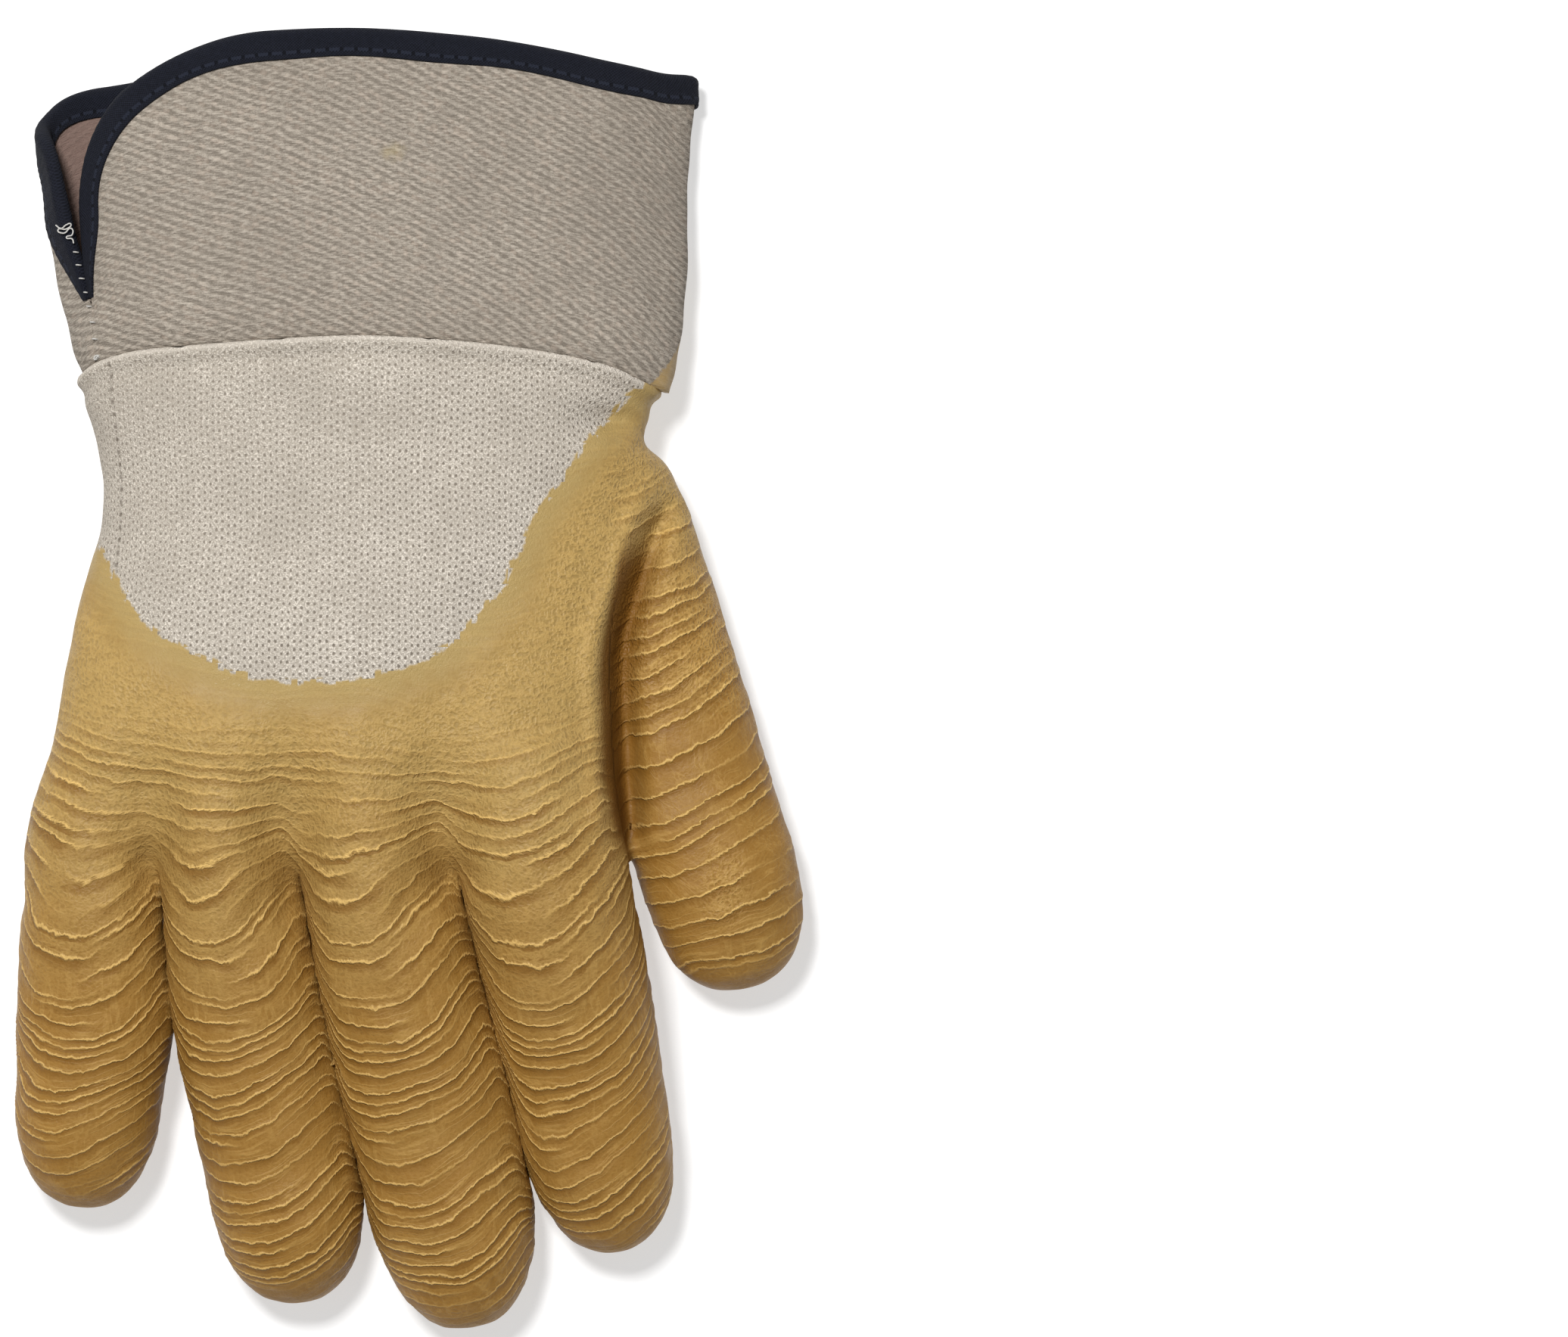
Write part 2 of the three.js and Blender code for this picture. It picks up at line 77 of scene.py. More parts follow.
class Patch(Enum):
    """The two parts of the hand's surface, by the names of their pieces."""

    LATEX = "dipped_hand"
    KNIT = "bare_back"


# Curves, tables and unevenness


def smooth_step(low: float, high: float, value: Array) -> Array:
    """Returns value's share of the way from low to high, eased at both ends."""
    share = np.clip((np.asarray(value, float) - low) / (high - low), 0, 1)
    return share * share * (3 - 2 * share)


def signed_power(value: Array, power: float) -> Array:
    """Returns value's size to a power, with its own sign."""
    return np.sign(value) * np.abs(value) ** power


def bell(value: Array, middle: float, width: float) -> Array:
    """Returns a bell of height 1 round a middle value."""
    return np.exp(-(((value - middle) / width) ** 2))


def unit(vectors: Array) -> Array:
    """Returns vectors brought to length 1, where they have any."""
    return vectors / np.maximum(np.linalg.norm(vectors, axis=1), 1e-9)[:, None]


def arc_of(line: Array) -> Array:
    """Returns each point's way along a line from its start."""
    return np.concatenate([[0], np.cumsum(np.linalg.norm(np.diff(line, axis=0), axis=1))])


def rows_of(kind: type, *rows: tuple[float, ...]) -> tuple[Any, ...]:
    """Returns rows of numbers as records of a kind."""
    return tuple(kind(*row) for row in rows)


@dataclass
class Spline:
    """A centripetal Catmull-Rom curve through points, open or closed."""

    points: Array
    closed: bool = False

    def __post_init__(self) -> None:
        """Works out the cubic of each segment."""
        p = np.asarray(self.points, float)
        if self.closed:
            p = np.vstack([p[-1:], p, p[:2]])
        else:
            p = np.vstack([2 * p[0] - p[1], p, 2 * p[-1] - p[-2]])
        a, b, c, d = p[:-3], p[1:-2], p[2:-1], p[3:]
        before, here, after = (
            np.sqrt(np.linalg.norm(v - u, axis=1))[:, None] for u, v in ((a, b), (b, c), (c, d))
        )
        leave = ((b - a) / before - (c - a) / (before + here) + (c - b) / here) * here
        reach = ((c - b) / here - (d - b) / (here + after) + (d - c) / after) * here
        self.cubics = np.stack([b, leave, 3 * (c - b) - 2 * leave - reach, 2 * (b - c) + leave + reach])

    def at(self, turn: Array) -> Array:
        """Finds points of the curve.

        Args:
            turn: from 0 at the start to 1 at the end.

        Returns:
            The points.
        """
        place = np.clip(np.asarray(turn, float), 0, 1) * self.cubics.shape[1]
        index = np.minimum(place.astype(int), self.cubics.shape[1] - 1)
        t = (place - index)[..., None]
        one, two, three, four = (cubic[index] for cubic in self.cubics)
        return one + t * (two + t * (three + t * four))


@dataclass
class Unevenness:
    """Smooth random unevenness from -1 to 1 or so: a sum of plane waves.

    Args:
        seed: picks the waves.
        shortest: the shortest wave, in millimetres.
        longest: the longest wave, in millimetres.
        count: how many waves are summed.
    """

    seed: int
    shortest: float
    longest: float
    count: int = 18

    def at(self, points: Array) -> Array:
        """Finds the unevenness at points.

        Args:
            points: points of any number of columns.

        Returns:
            A value for each point.
        """
        rng = np.random.default_rng(SEED + self.seed)
        ways = rng.normal(size=(self.count, points.shape[1]))
        ways /= np.linalg.norm(ways, axis=1)[:, None]
        lengths = rng.uniform(self.shortest, self.longest, self.count)
        turns = points @ (2 * np.pi * ways / lengths[:, None]).T
        return np.sin(turns + rng.uniform(0, 2 * np.pi, self.count)).mean(1) * np.sqrt(8)


# The hand's sections


@dataclass(frozen=True)
class PalmSection:
    """A section across the palm at y."""

    y: float
    left: float
    right: float
    bottom: float
    top: float


@dataclass(frozen=True)
class DigitSection:
    """A section of a digit, square to its line."""

    y: float
    x: float
    z: float
    half_width: float
    half_height: float


@dataclass(frozen=True)
class Dent:
    """A soft hollow, or a swelling where depth is under zero, in the hand's upper side."""

    x: float
    y: float
    across: float
    along: float
    depth: float

    def near(self, points: Array, size: tuple[float, float] | None = None, onward: float = 0.0) -> Array:
        """Finds how near points are to the middle.

        Args:
            points: the hand's points.
            size: the size within which they count as near, the hollow's own if not given.
            onward: how far past the middle they are nearest.

        Returns:
            1 in the middle, and 0 far away.
        """
        across, along = size or (self.across, self.along)
        return bell(points[:, 0], self.x, across) * bell(points[:, 1], self.y + onward, along)


PALM = rows_of(
    PalmSection,
    (84, -68.4, 55.4, 0, 31.5), (66, -68.8, 55.2, 0, 31.8), (59, -67.7, 52.4, -1, 32.6),
    (51, -64.6, 48.6, -1, 34), (40, -62.4, 49, -1, 36.6), (30, -63.2, 48.4, -0.8, 38.6),
    (18, -67, 46.2, -0.4, 40.8), (4, -69.7, 43.6, 2, 42.6), (-14, -72.5, 42.8, 6, 43.2),
    (-27, -74.6, 44, 8.5, 40.6), (-35, -74.4, 44.4, 11, 37), (-40, -72.5, 41, 15, 32),
)
SEAM = (
    (64, 54.8), (57, 58.2), (50, 61.2), (43, 64.4), (34, 66.6), (24, 68.2), (10, 69.7), (-8, 70.7),
    (-26, 70), (-44, 68.7), (-56, 67.6), (-64, 65.4), (-69, 62), (-75, 57.6),
)
BARE_KNIT = (
    (60, 84), (56, 68), (48, 60), (38, 49), (27, 33), (20, 18), (8, 6), (-10, 0), (-30, 0.5),
    (-46, 7), (-57, 17), (-66, 30), (-84, 36),
)
CROTCHES = rows_of(
    Dent,
    (-52, -38, 3.4, 5, 2.2), (-23.4, -45, 3.4, 5, 2.2), (8.6, -41.5, 3.6, 5, 3.2),
)
DENTS = (
    *rows_of(Dent, (-51, -29, 6, 15, 3.2), (-23, -31, 6.5, 16, 3.6), (8, -30, 6.5, 15, 3.4)),
    *CROTCHES,
    *rows_of(
        Dent,
        (2.5, -46, 4.5, 8, 1.6), (-29, -48, 4.5, 8, 1.2), (42.5, 53.8, 6.5, 2.8, 3.2),
        (44, 46.5, 8, 4.5, -1.4), (-37, -22, 8, 12, -1.0), (-9, -20, 8, 12, -1.2),
        (24, -18, 9, 13, -1.1), (-20, 40, 30, 14, 1.4),
    ),
)
LIP = ((-30, 43.4), (-15, 42.5), (0, 41.5), (9.3, 42), (21.6, 45.9), (29.7, 48.2), (36, 50.6))
SEAM_LINE = Spline(np.array(SEAM)).at(np.linspace(0, 1, 67))[::-1]
BARE_LINE = Spline(np.array(BARE_KNIT)).at(np.linspace(0, 1, 120))
BARE_LEVEL = 15.0


def seam_y(x: Array) -> Array:
    """Returns where the wrist seam runs, seen from above."""
    return np.interp(x, SEAM_LINE[:, 0], SEAM_LINE[:, 1])


def lip_lift(points: Array) -> Array:
    """Finds how far the skin rises along the palm's edge and sinks beside it, by the thumb.

    Args:
        points: the hand's points.

    Returns:
        The rise, under zero where the skin sinks.
    """
    level, edge = zip(*LIP)
    beyond = points[:, 0] - np.interp(points[:, 1], level, edge)
    near = smooth_step(-37, -26, points[:, 1]) * smooth_step(41, 31, points[:, 1])
    lift = 2.2 * bell(beyond, -2, 2.6) - 5 * bell(beyond, 3.2, 3)
    return near * smooth_step(9, 17, points[:, 2]) * lift


def bare_distance(points: Array) -> Array:
    """Finds how far outside the bare knit points are.

    Args:
        points: the hand's points.

    Returns:
        The distances, under zero inside the bare knit.
    """
    ways = np.diff(BARE_LINE, axis=0)
    away = points[:, None, :2] - BARE_LINE[:-1]
    share = np.clip((away * ways).sum(2) / (ways * ways).sum(1), 0, 1)
    rest = away - share[..., None] * ways
    near = np.argmin((rest * rest).sum(2), axis=1)
    found = rest[np.arange(len(points)), near]
    side = ways[near, 0] * found[:, 1] - ways[near, 1] * found[:, 0]
    return np.maximum(np.sign(side) * np.linalg.norm(found, axis=1), BARE_LEVEL - points[:, 2])


@dataclass
class Digit:
    """A finger or the thumb.

    Args:
        sections: from inside the palm outwards.
        tip: the far end's x, y and z.
        spread: how far the digit is held from its place while the hand is joined.
        held: the y where it starts to be held so, and where it is held fully.
        squareness: how square its sections are.
        cap_squareness: how square its tip is.
    """

    sections: tuple[DigitSection, ...]
    tip: tuple[float, float, float]
    spread: float = 0.0
    held: tuple[float, float] = (-34, -47)
    squareness: float = 2.15
    cap_squareness: float = 2.3

    def __post_init__(self) -> None:
        """Lays out the digit's line and its girths along it."""
        centres = [(s.x, s.y, s.z) for s in self.sections]
        self.line = Spline(np.array([*centres, self.tip]))
        self.share = 1 - 1 / len(self.sections)
        steps = np.linspace(0, 1, 161)
        self.centres = self.line.at(steps)
        self.onward = unit(np.gradient(self.centres[:, :2], axis=0))
        self.arc = arc_of(self.centres[:, :2]) - self.sections[0].y
        self.halves = self.girth(steps)
        order = np.argsort(self.centres[:, 1])
        self.by_y = self.centres[order, 1], self.centres[order, 0], self.halves[order, 0]

    def girth(self, turn: Array) -> Array:
        """Returns half the width and half the height at turn along the line."""
        knots = np.linspace(0, 1, len(self.sections) + 1)[:-1]
        sizes = zip(*((s.half_width, s.half_height) for s in self.sections))
        return np.stack([np.interp(turn, knots, size) for size in sizes], axis=-1)

    def held_aside(self, y: Array) -> Array:
        """Returns how far the digit is held from its place at y."""
        return self.spread * smooth_step(*self.held, y)

    def place(self, around: Array, onward: Array) -> Array:
        """Finds points of the digit's form.

        Args:
            around: turns round the section, 0 to 1.
            onward: 0 at the first section, 0.5 where the cap starts, 1 at the tip.

        Returns:
            The points.
        """
        cap = np.clip(2 * onward - 1, 0, 1) * np.pi / 2
        out = np.sin(cap) ** (2 / self.cap_squareness)
        share = np.maximum(np.cos(cap), 0) ** (2 / self.cap_squareness)
        turn = np.minimum(2 * onward, 1) * self.share + (1 - self.share) * out
        centre = self.line.at(turn)
        step = 1e-3
        way = unit((self.line.at(np.minimum(turn + step, 1)) - self.line.at(turn - step))[:, :2])
        halves = self.girth(turn) * share[:, None]
        angle = 2 * np.pi * around
        across = halves[:, 0] * signed_power(np.cos(angle), 2 / self.squareness)
        up = halves[:, 1] * signed_power(np.sin(angle), 2 / self.squareness)
        x = centre[:, 0] - way[:, 1] * across
        y = centre[:, 1] + way[:, 0] * across
        return np.stack([x + self.held_aside(y), y, centre[:, 2] + up], axis=1)

    def local(self, points: Array) -> tuple[Array, Array, Array]:
        """Finds where points are in the digit.

        Args:
            points: the hand's points.

        Returns:
            Their way along the digit, and their shares of its half width and half height.
        """
        away = points[:, None, :2] - self.centres[:, :2]
        near = np.argmin((away * away).sum(2), axis=1)
        rest = away[np.arange(len(points)), near]
        onward, halves = self.onward[near], self.halves[near]
        across = rest[:, 1] * onward[:, 0] - rest[:, 0] * onward[:, 1]
        up = points[:, 2] - self.centres[near, 2]
        return self.arc[near] + (rest * onward).sum(1), across / halves[:, 0], up / halves[:, 1]

    def middle(self, y: Array) -> Array:
        """Returns the x of the digit's middle at y."""
        return np.interp(y, self.by_y[0], self.by_y[1])

    def half(self, y: Array) -> Array:
        """Returns half the digit's width at y."""
        return np.interp(y, self.by_y[0], self.by_y[2])


LITTLE = Digit(
    rows_of(
        DigitSection,
        (-14, -60.5, 22.5, 11.4, 12.8), (-30, -63.5, 22, 14.2, 14.5),
        (-44, -64.5, 20.8, 14.3, 14.5), (-58, -64.8, 18.4, 15.4, 14.5),
        (-71, -64.7, 16.2, 16.3, 14.4), (-86, -66.3, 13.6, 15, 14.1),
    ),
    (-68, -110.3, 11.5), spread=-6.0,
)
RING = Digit(
    rows_of(
        DigitSection,
        (-14, -40.2, 26, 12.5, 14.5), (-30, -37.7, 25.8, 14.4, 16.2), (-44, -35.8, 24.4, 14.3, 16),
        (-70, -32.3, 19.2, 16.1, 15.3), (-104, -25.8, 13.6, 15.8, 14.2),
    ),
    (-22.2, -130.2, 11.5), spread=-3.0,
)
MIDDLE = Digit(
    rows_of(
        DigitSection,
        (-14, -10.4, 27, 13.5, 15), (-30, -7.4, 26.8, 15.7, 16.6), (-44, -4.7, 25.2, 16, 16.4),
        (-66, -0.4, 20.8, 17, 16), (-86, 4.2, 17, 17.9, 15.4), (-104, 8, 14.2, 17.3, 14.8),
    ),
    (13.8, -135.2, 12),
)
INDEX = Digit(
    rows_of(
        DigitSection,
        (-14, 24, 27.4, 15, 15), (-30, 27, 27, 17.2, 16.5), (-44, 29.6, 25.4, 17.2, 16.4),
        (-66, 33.9, 20.6, 16.8, 15.6), (-90, 38.3, 14.8, 15.8, 14.6),
    ),
    (44.4, -119.5, 12), spread=3.0,
)
THUMB = Digit(
    rows_of(
        DigitSection,
        (53, 39, 14, 7, 7), (45, 38.4, 13.5, 14.6, 13.5), (30, 41.6, 13, 17.8, 13.5),
        (10, 46.6, 12.5, 19.2, 13), (-8, 53.4, 12.3, 17.9, 12.8), (-24, 58.9, 12.3, 17, 12.8),
        (-41, 65, 12.4, 16, 12.9),
    ),
    (70.3, -64.5, 11.5), spread=5.5, cap_squareness=2.5,
)
FINGERS = (LITTLE, RING, MIDDLE, INDEX)
DIGITS = (*FINGERS, THUMB)


# Mesh helpers


def grid_onto(
    bm: BMesh, columns: int, rows: int, place: Place, uv: Place | None = None
) -> list[bmesh.types.BMVert]:
    """Lays a grid onto a surface.

    Args:
        bm: takes the grid.
        columns: faces along the first way.
        rows: faces along the second way.
        place: gives points, in millimetres, for places from 0 to 1 along both ways.
        uv: gives the UV at those places, if the piece needs it.

    Returns:
        The grid's vertices.
    """
    made = bmesh.ops.create_grid(bm, x_segments=columns, y_segments=rows, size=0.5)["verts"]
    shares = np.array([v.co[:2] for v in made]) + 0.5
    points = place(shares[:, 0], shares[:, 1]) * MM
    if uv is not None:
        layer = bm.loops.layers.uv.verify()
        for vert, value in zip(made, uv(shares[:, 0], shares[:, 1])):
            for loop in vert.link_loops:
                loop[layer].uv = value
    for vert, point in zip(made, points):
        vert.co = point
    return made


def add_tube(bm: BMesh, columns: int, rows: int, place: Place, uv: Place | None = None) -> None:
    """Adds a closed tube: a grid whose sides are joined and whose ends are filled.

    Args:
        bm: takes the tube.
        columns: faces along the grid's first way.
        rows: faces along its second way.
        place: gives its points, as for a grid.
        uv: gives its UV, as for a grid.
    """
    made = grid_onto(bm, columns, rows, place, uv)
    bmesh.ops.remove_doubles(bm, verts=made, dist=SAME_PLACE)
    bmesh.ops.holes_fill(bm, edges=[e for e in bm.edges if e.is_boundary], sides=0)


def smooth(bm: BMesh, verts: Sequence[bmesh.types.BMVert]) -> None:
    """Smooths vertices once."""
    bmesh.ops.smooth_vert(bm, verts=verts, factor=0.5, use_axis_x=True, use_axis_y=True, use_axis_z=True)


def new_object(name: str, data: bpy.types.ID | None) -> Object:
    """Returns a new object in the scene."""
    made = bpy.data.objects.new(name, data)
    bpy.context.scene.collection.objects.link(made)
    return made


def finished(name: str, mesh: Mesh, finish: Material) -> Object:
    """Makes a piece of a mesh.

    Args:
        name: the piece's name.
        mesh: its mesh.
        finish: its material.

    Returns:
        The piece.
    """
    mesh.shade_smooth()
    mesh.materials.clear()
    mesh.materials.append(finish)
    LOG.info("%s: %d faces", name, len(mesh.polygons))
    return new_object(name, mesh)


def mesh_of(name: str, bm: BMesh) -> Mesh:
    """Turns a bmesh into a mesh, and frees it.

    Args:
        name: the mesh's name.
        bm: the bmesh.

    Returns:
        The mesh.
    """
    mesh = bpy.data.meshes.new(name)
    bm.to_mesh(mesh)
    bm.free()
    return mesh


def bmesh_of(mesh: Mesh) -> BMesh:
    """Turns a mesh into a bmesh, and removes it.

    Args:
        mesh: the mesh.

    Returns:
        The bmesh.
    """
    bm = bmesh.new()
    bm.from_mesh(mesh)
    bpy.data.meshes.remove(mesh)
    return bm


def modified(mesh: Mesh, kind: str, **settings: Any) -> Mesh:
    """Lets a modifier change a mesh, which it replaces.

    Args:
        mesh: the mesh.
        kind: the modifier's type.
        settings: the modifier's properties.

    Returns:
        The changed mesh.
    """
    holder = new_object("holder", mesh)
    modifier = holder.modifiers.new(kind.title(), kind)
    for key, value in settings.items():
        setattr(modifier, key, value)
    graph = bpy.context.evaluated_depsgraph_get()
    made = bpy.data.meshes.new_from_object(holder.evaluated_get(graph))
    bpy.data.objects.remove(holder)
    bpy.data.meshes.remove(mesh)
    return made


def places_of(mesh: Mesh) -> Array:
    """Returns the mesh's vertices, in millimetres."""
    return attached(mesh, "position", True) / MM


def move_to(mesh: Mesh, points: Array) -> None:
    """Moves the mesh's vertices to points, in millimetres."""
    mesh.vertices.foreach_set("co", (points * MM).ravel())
    mesh.update()


def attach(mesh: Mesh, name: str, values: Array) -> None:
    """Puts values on the mesh.

    Args:
        mesh: takes the values.
        name: the name that they are read under.
        values: a value, or a vector, for each vertex.
    """
    kind, key = ("FLOAT_VECTOR", "vector") if values.ndim == 2 else ("FLOAT", "value")
    layer = mesh.attributes.new(name, kind, "POINT")
    layer.data.foreach_set(key, np.ascontiguousarray(values, float).ravel())


def attached(mesh: Mesh, name: str, vector: bool = False) -> Array:
    """Reads what the mesh holds.

    Args:
        mesh: the mesh.
        name: the name of the values.
        vector: whether they are vectors.

    Returns:
        A value, or a vector, for each vertex.
    """
    found = np.empty((len(mesh.vertices), 3) if vector else len(mesh.vertices))
    mesh.attributes[name].data.foreach_get("vector" if vector else "value", found.ravel())
    return found


# The padded hand


@dataclass(frozen=True)
class CreaseRow:
    """How the latex's creases lie at a value of the flow."""

    flow: float
    pitch: float
    relief: float


@dataclass
class Creases:
    """The crests that cross a digit or the palm: how far apart they lie and how high they stand.

    Args:
        rows: the crests' pitch and relief along the flow.
        seed: picks the crests.
        drop: how far past its crest a fold falls off, in millimetres.
        lift: the share of the relief that the surface itself is raised by.
        gaps: the least and the most share of the pitch between two crests.
        strengths: the least and the most strength of a crest.
    """

    rows: tuple[CreaseRow, ...]
    seed: int
    drop: float = 0.8
    lift: float = 0.5
    gaps: tuple[float, float] = (0.55, 1.5)
    strengths: tuple[float, float] = (0.5, 1.1)

    def __post_init__(self) -> None:
        """Lays the crests out along the flow."""
        rng = np.random.default_rng(SEED + self.seed)
        self.knots, pitches, self.reliefs = zip(*((r.flow, r.pitch, r.relief) for r in self.rows))
        places = [self.knots[0]]
        while places[-1] < self.knots[-1]:
            step = np.interp(places[-1], self.knots, pitches)
            places.append(places[-1] + step * rng.uniform(*self.gaps))
        self.places = np.array(places)
        self.sizes = rng.uniform(*self.strengths, len(places) + 1)

    def phase(self, flow: Array) -> Array:
        """Returns the crests' count up to each value of the flow."""
        return np.interp(flow, self.places, np.arange(len(self.places)))

    def spacing(self, flow: Array) -> Array:
        """Returns the crests' distance at each value of the flow."""
        index = np.clip(self.phase(flow).astype(int), 0, len(self.places) - 2)
        return np.diff(self.places)[index]

    def strength(self, index: Array, around: Array) -> Array:
        """Returns how strong crests are at places around the digit: each fades in and out."""
        patchy = Unevenness(40 + self.seed, 14, 40).at(np.column_stack([around, index * 41.0]))
        return self.sizes[np.minimum(index, len(self.sizes) - 1)] * np.clip(0.72 + 0.75 * patchy, 0, 1)

    def full_relief(self, flow: Array) -> Array:
        """Returns the highest crests' relief at each value of the flow."""
        return np.interp(flow, self.knots, self.reliefs)

    def relief(self, flow: Array, around: Array) -> Array:
        """Finds the folds' height: a slow rise to each crest and a sharp fall.

        Args:
            flow: the flow's values.
            around: the places around the digit.

        Returns:
            The height, in millimetres.
        """
        phase = self.phase(flow)
        index = phase.astype(int)
        share = phase - index
        rise = self.strength(index + 1, around) * share**3
        fall = self.strength(index, around) * np.maximum(1 - share * self.spacing(flow) / self.drop, 0)
        return self.lift * self.full_relief(flow) * np.maximum(rise, fall)


FINGER_CREASES = Creases(
    rows_of(
        CreaseRow,
        (-90, 2.4, 0.02), (4, 2.4, 0.02), (12, 2.2, 0.12), (24, 2.5, 0.3), (40, 2.5, 0.4),
        (54, 2.7, 0.5), (72, 3.1, 0.55), (105, 3.0, 0.55), (124, 2.8, 0.45), (160, 2.4, 0.1),
    ),
    seed=1,
)
THUMB_CREASES = Creases(
    rows_of(
        CreaseRow,
        (-60, 2.6, 0.02), (-34, 3, 0.12), (-14, 4.6, 0.4), (35, 4.6, 0.5), (58, 3.2, 0.4),
        (90, 2.4, 0.1),
    ),
    seed=2,
)
PALM_CREASES = Creases(
    rows_of(
        CreaseRow,
        (-80, 2.6, 0.15), (-44, 3.2, 0.25), (-26, 8, 0.5), (14, 9.5, 0.6), (34, 6, 0.5),
        (160, 4, 0.5),
    ),
    seed=3,
)
ALL_CREASES = (FINGER_CREASES, THUMB_CREASES, PALM_CREASES)


@dataclass
class Flow:
    """The way that the latex's creases run over the hand, found for each point.

    Args:
        points: points of the hand's surface, in millimetres.
        tilt: how far the lines sag over a finger's back, at its root and at its tip.
        lean: how far they rise towards the thumb's side, at its root and at its tip.
        roots: the y between which the palm's way gives over to the fingers'.
        reach: the y of a finger's root and of its tip, for tilt and lean.
        deepening: the y between which the sag grows to its full size.
        thumb_edge: the shares of the thumb's half size between which its own way ends.
        tip_fade: how far before a tip the folds start to fade, and where they are gone.
        thumb_sag: how far they sag and rise on the thumb.
        calm: the size round each crotch in which the folds are calm.
        full: the relief whose crests the finish draws at full strength.
    """

    points: Array
    tilt: tuple[float, float] = (25.0, 15.5)
    lean: tuple[float, float] = (2.5, 4.5)
    roots: tuple[float, float] = (-15, -50)
    reach: tuple[float, float] = (-35, -95)
    deepening: tuple[float, float] = (-25, -80)
    thumb_edge: tuple[float, float] = (1.08, 1.35)
    tip_fade: tuple[float, float] = (9, 3)
    thumb_sag: float = 2.5
    calm: tuple[float, float] = (7.0, 9.0)
    full: float = 0.36

    def __post_init__(self) -> None:
        """Blends the digits' and the palm's own ways into one."""
        points = self.points
        x, y, z = points.T
        far, onward = smooth_step(*self.roots, y), smooth_step(*self.reach, y)
        tilt, lean = (np.interp(onward, (0, 1), ends) for ends in (self.tilt, self.lean))
        tilt *= 0.3 + 0.7 * smooth_step(*self.deepening, y)
        tips = np.zeros(len(points))
        places = [digit.local(points) for digit in FINGERS]
        shares = np.stack([np.exp(-5 * across**2) for _, across, _ in places])
        shares = far * shares / shares.sum(0)
        up_palm = np.clip((z - 22) / 20, -1, 1)
        right, left = np.maximum(x - 12, 0), np.maximum(-48 - x, 0)
        upwards = (0.011 * right**2 + 0.006 * left**2) * np.clip(up_palm + 0.3, 0, 1)
        self.value = (1 - far) * (upwards - y - 5 * up_palm - 0.04 * x)
        self.around = (1 - far)[:, None] * points[:, (0, 2)]
        for digit, (arc, across, up), share in zip(FINGERS, places, shares):
            turn = np.arctan2(up, np.hypot(across, 0.55))
            sag = 0.5 * np.sin(turn) + turn / np.pi
            self.value += share * (arc + lean * np.clip(across, -1, 1) - tilt * sag)
            tips += share * self.tip_share(digit, arc)
            self.around += share[:, None] * np.stack([across, up], axis=1) * 15
        arc, across, up = THUMB.local(points)
        on_thumb = 1 - smooth_step(*self.thumb_edge, np.hypot(across, up))
        tips = np.maximum(tips, on_thumb * self.tip_share(THUMB, arc))
        wander = 1.2 * Unevenness(3, 16, 42).at(points) + 0.35 * Unevenness(4, 5, 10).at(points)
        wander += 0.2 * Unevenness(9, 1.8, 4, 30).at(points)
        thumb_value = arc + self.thumb_sag * (np.clip(across, -1, 1) - np.clip(up, -1, 1)) + wander
        under = (1 - far) * smooth_step(0.1, -0.45, up_palm)
        shares = np.stack([(1 - on_thumb) * (1 - under), on_thumb, (1 - on_thumb) * under])
        self.kind = np.argmax(shares, axis=0)
        self.value = np.where(self.kind == 1, thumb_value, self.value + wander)
        fingers_deep = smooth_step(8, 66, self.value) * (self.kind != 1)
        self.deep = np.maximum(fingers_deep, on_thumb * smooth_step(-38, -2, thumb_value))
        _, second, first = np.sort(shares, axis=0)
        self.parting = np.clip(1.6 * (first - second), 0, 1) * (1 - 0.85 * tips)
        for dent in CROTCHES:
            self.parting *= 1 - 0.7 * dent.near(points, self.calm, 3)

    def tip_share(self, digit: Digit, arc: Array) -> Array:
        """Returns how near places along a digit are to its tip, where the folds end."""
        return smooth_step(*self.tip_fade, digit.arc[-1] - arc)

    def pick(self, found: Callable[[Creases], Array]) -> Array:
        """Returns what is found for the creases that each point lies in."""
        return np.choose(self.kind, [found(creases) for creases in ALL_CREASES])

    def relief(self) -> Array:
        """Returns the creases' height at each point, in millimetres."""
        folds = self.pick(lambda creases: creases.relief(self.value, self.around))
        ripple = Unevenness(5, 1.9, 4.2, 26).at(np.column_stack([0.16 * self.around, self.value]))
        return folds * self.parting + 0.05 * self.deep * ripple

    def attach_to(self, mesh: Mesh) -> None:
        """Puts what the latex's finish reads on the mesh.

        Args:
            mesh: the mesh of the flow's points.
        """
        phase, spacing, relief = (
            self.pick(lambda creases, find=find: find(creases, self.value))
            for find in (Creases.phase, Creases.spacing, Creases.full_relief)
        )
        nearest = np.round(phase).astype(int)
        strength = self.pick(lambda creases: creases.strength(nearest, self.around))
        strength *= self.parting * np.clip(relief / self.full, 0, 1)
        x, y, z = self.points.T
        apart = x - np.interp(y, *zip(*sorted((row.y, row.right) for row in PALM)))
        # beside: a painted shadow on the thumb next to the palm's right edge, where the palm's edge shades
        # it; the finish darkens it with the shade colour
        beside = smooth_step(-4, -2, apart) * smooth_step(8.5, 0.5, apart) * smooth_step(36, 30, z)
        beside *= smooth_step(3, 12, z) * smooth_step(31, 22, y) * smooth_step(-38, -30, y)
        attach(mesh, "beside", beside)
        attach(mesh, "phase", phase)
        attach(mesh, "crest", np.stack([spacing, strength, self.deep], axis=1))
        attach(mesh, "flow", np.column_stack([self.around, self.value]))


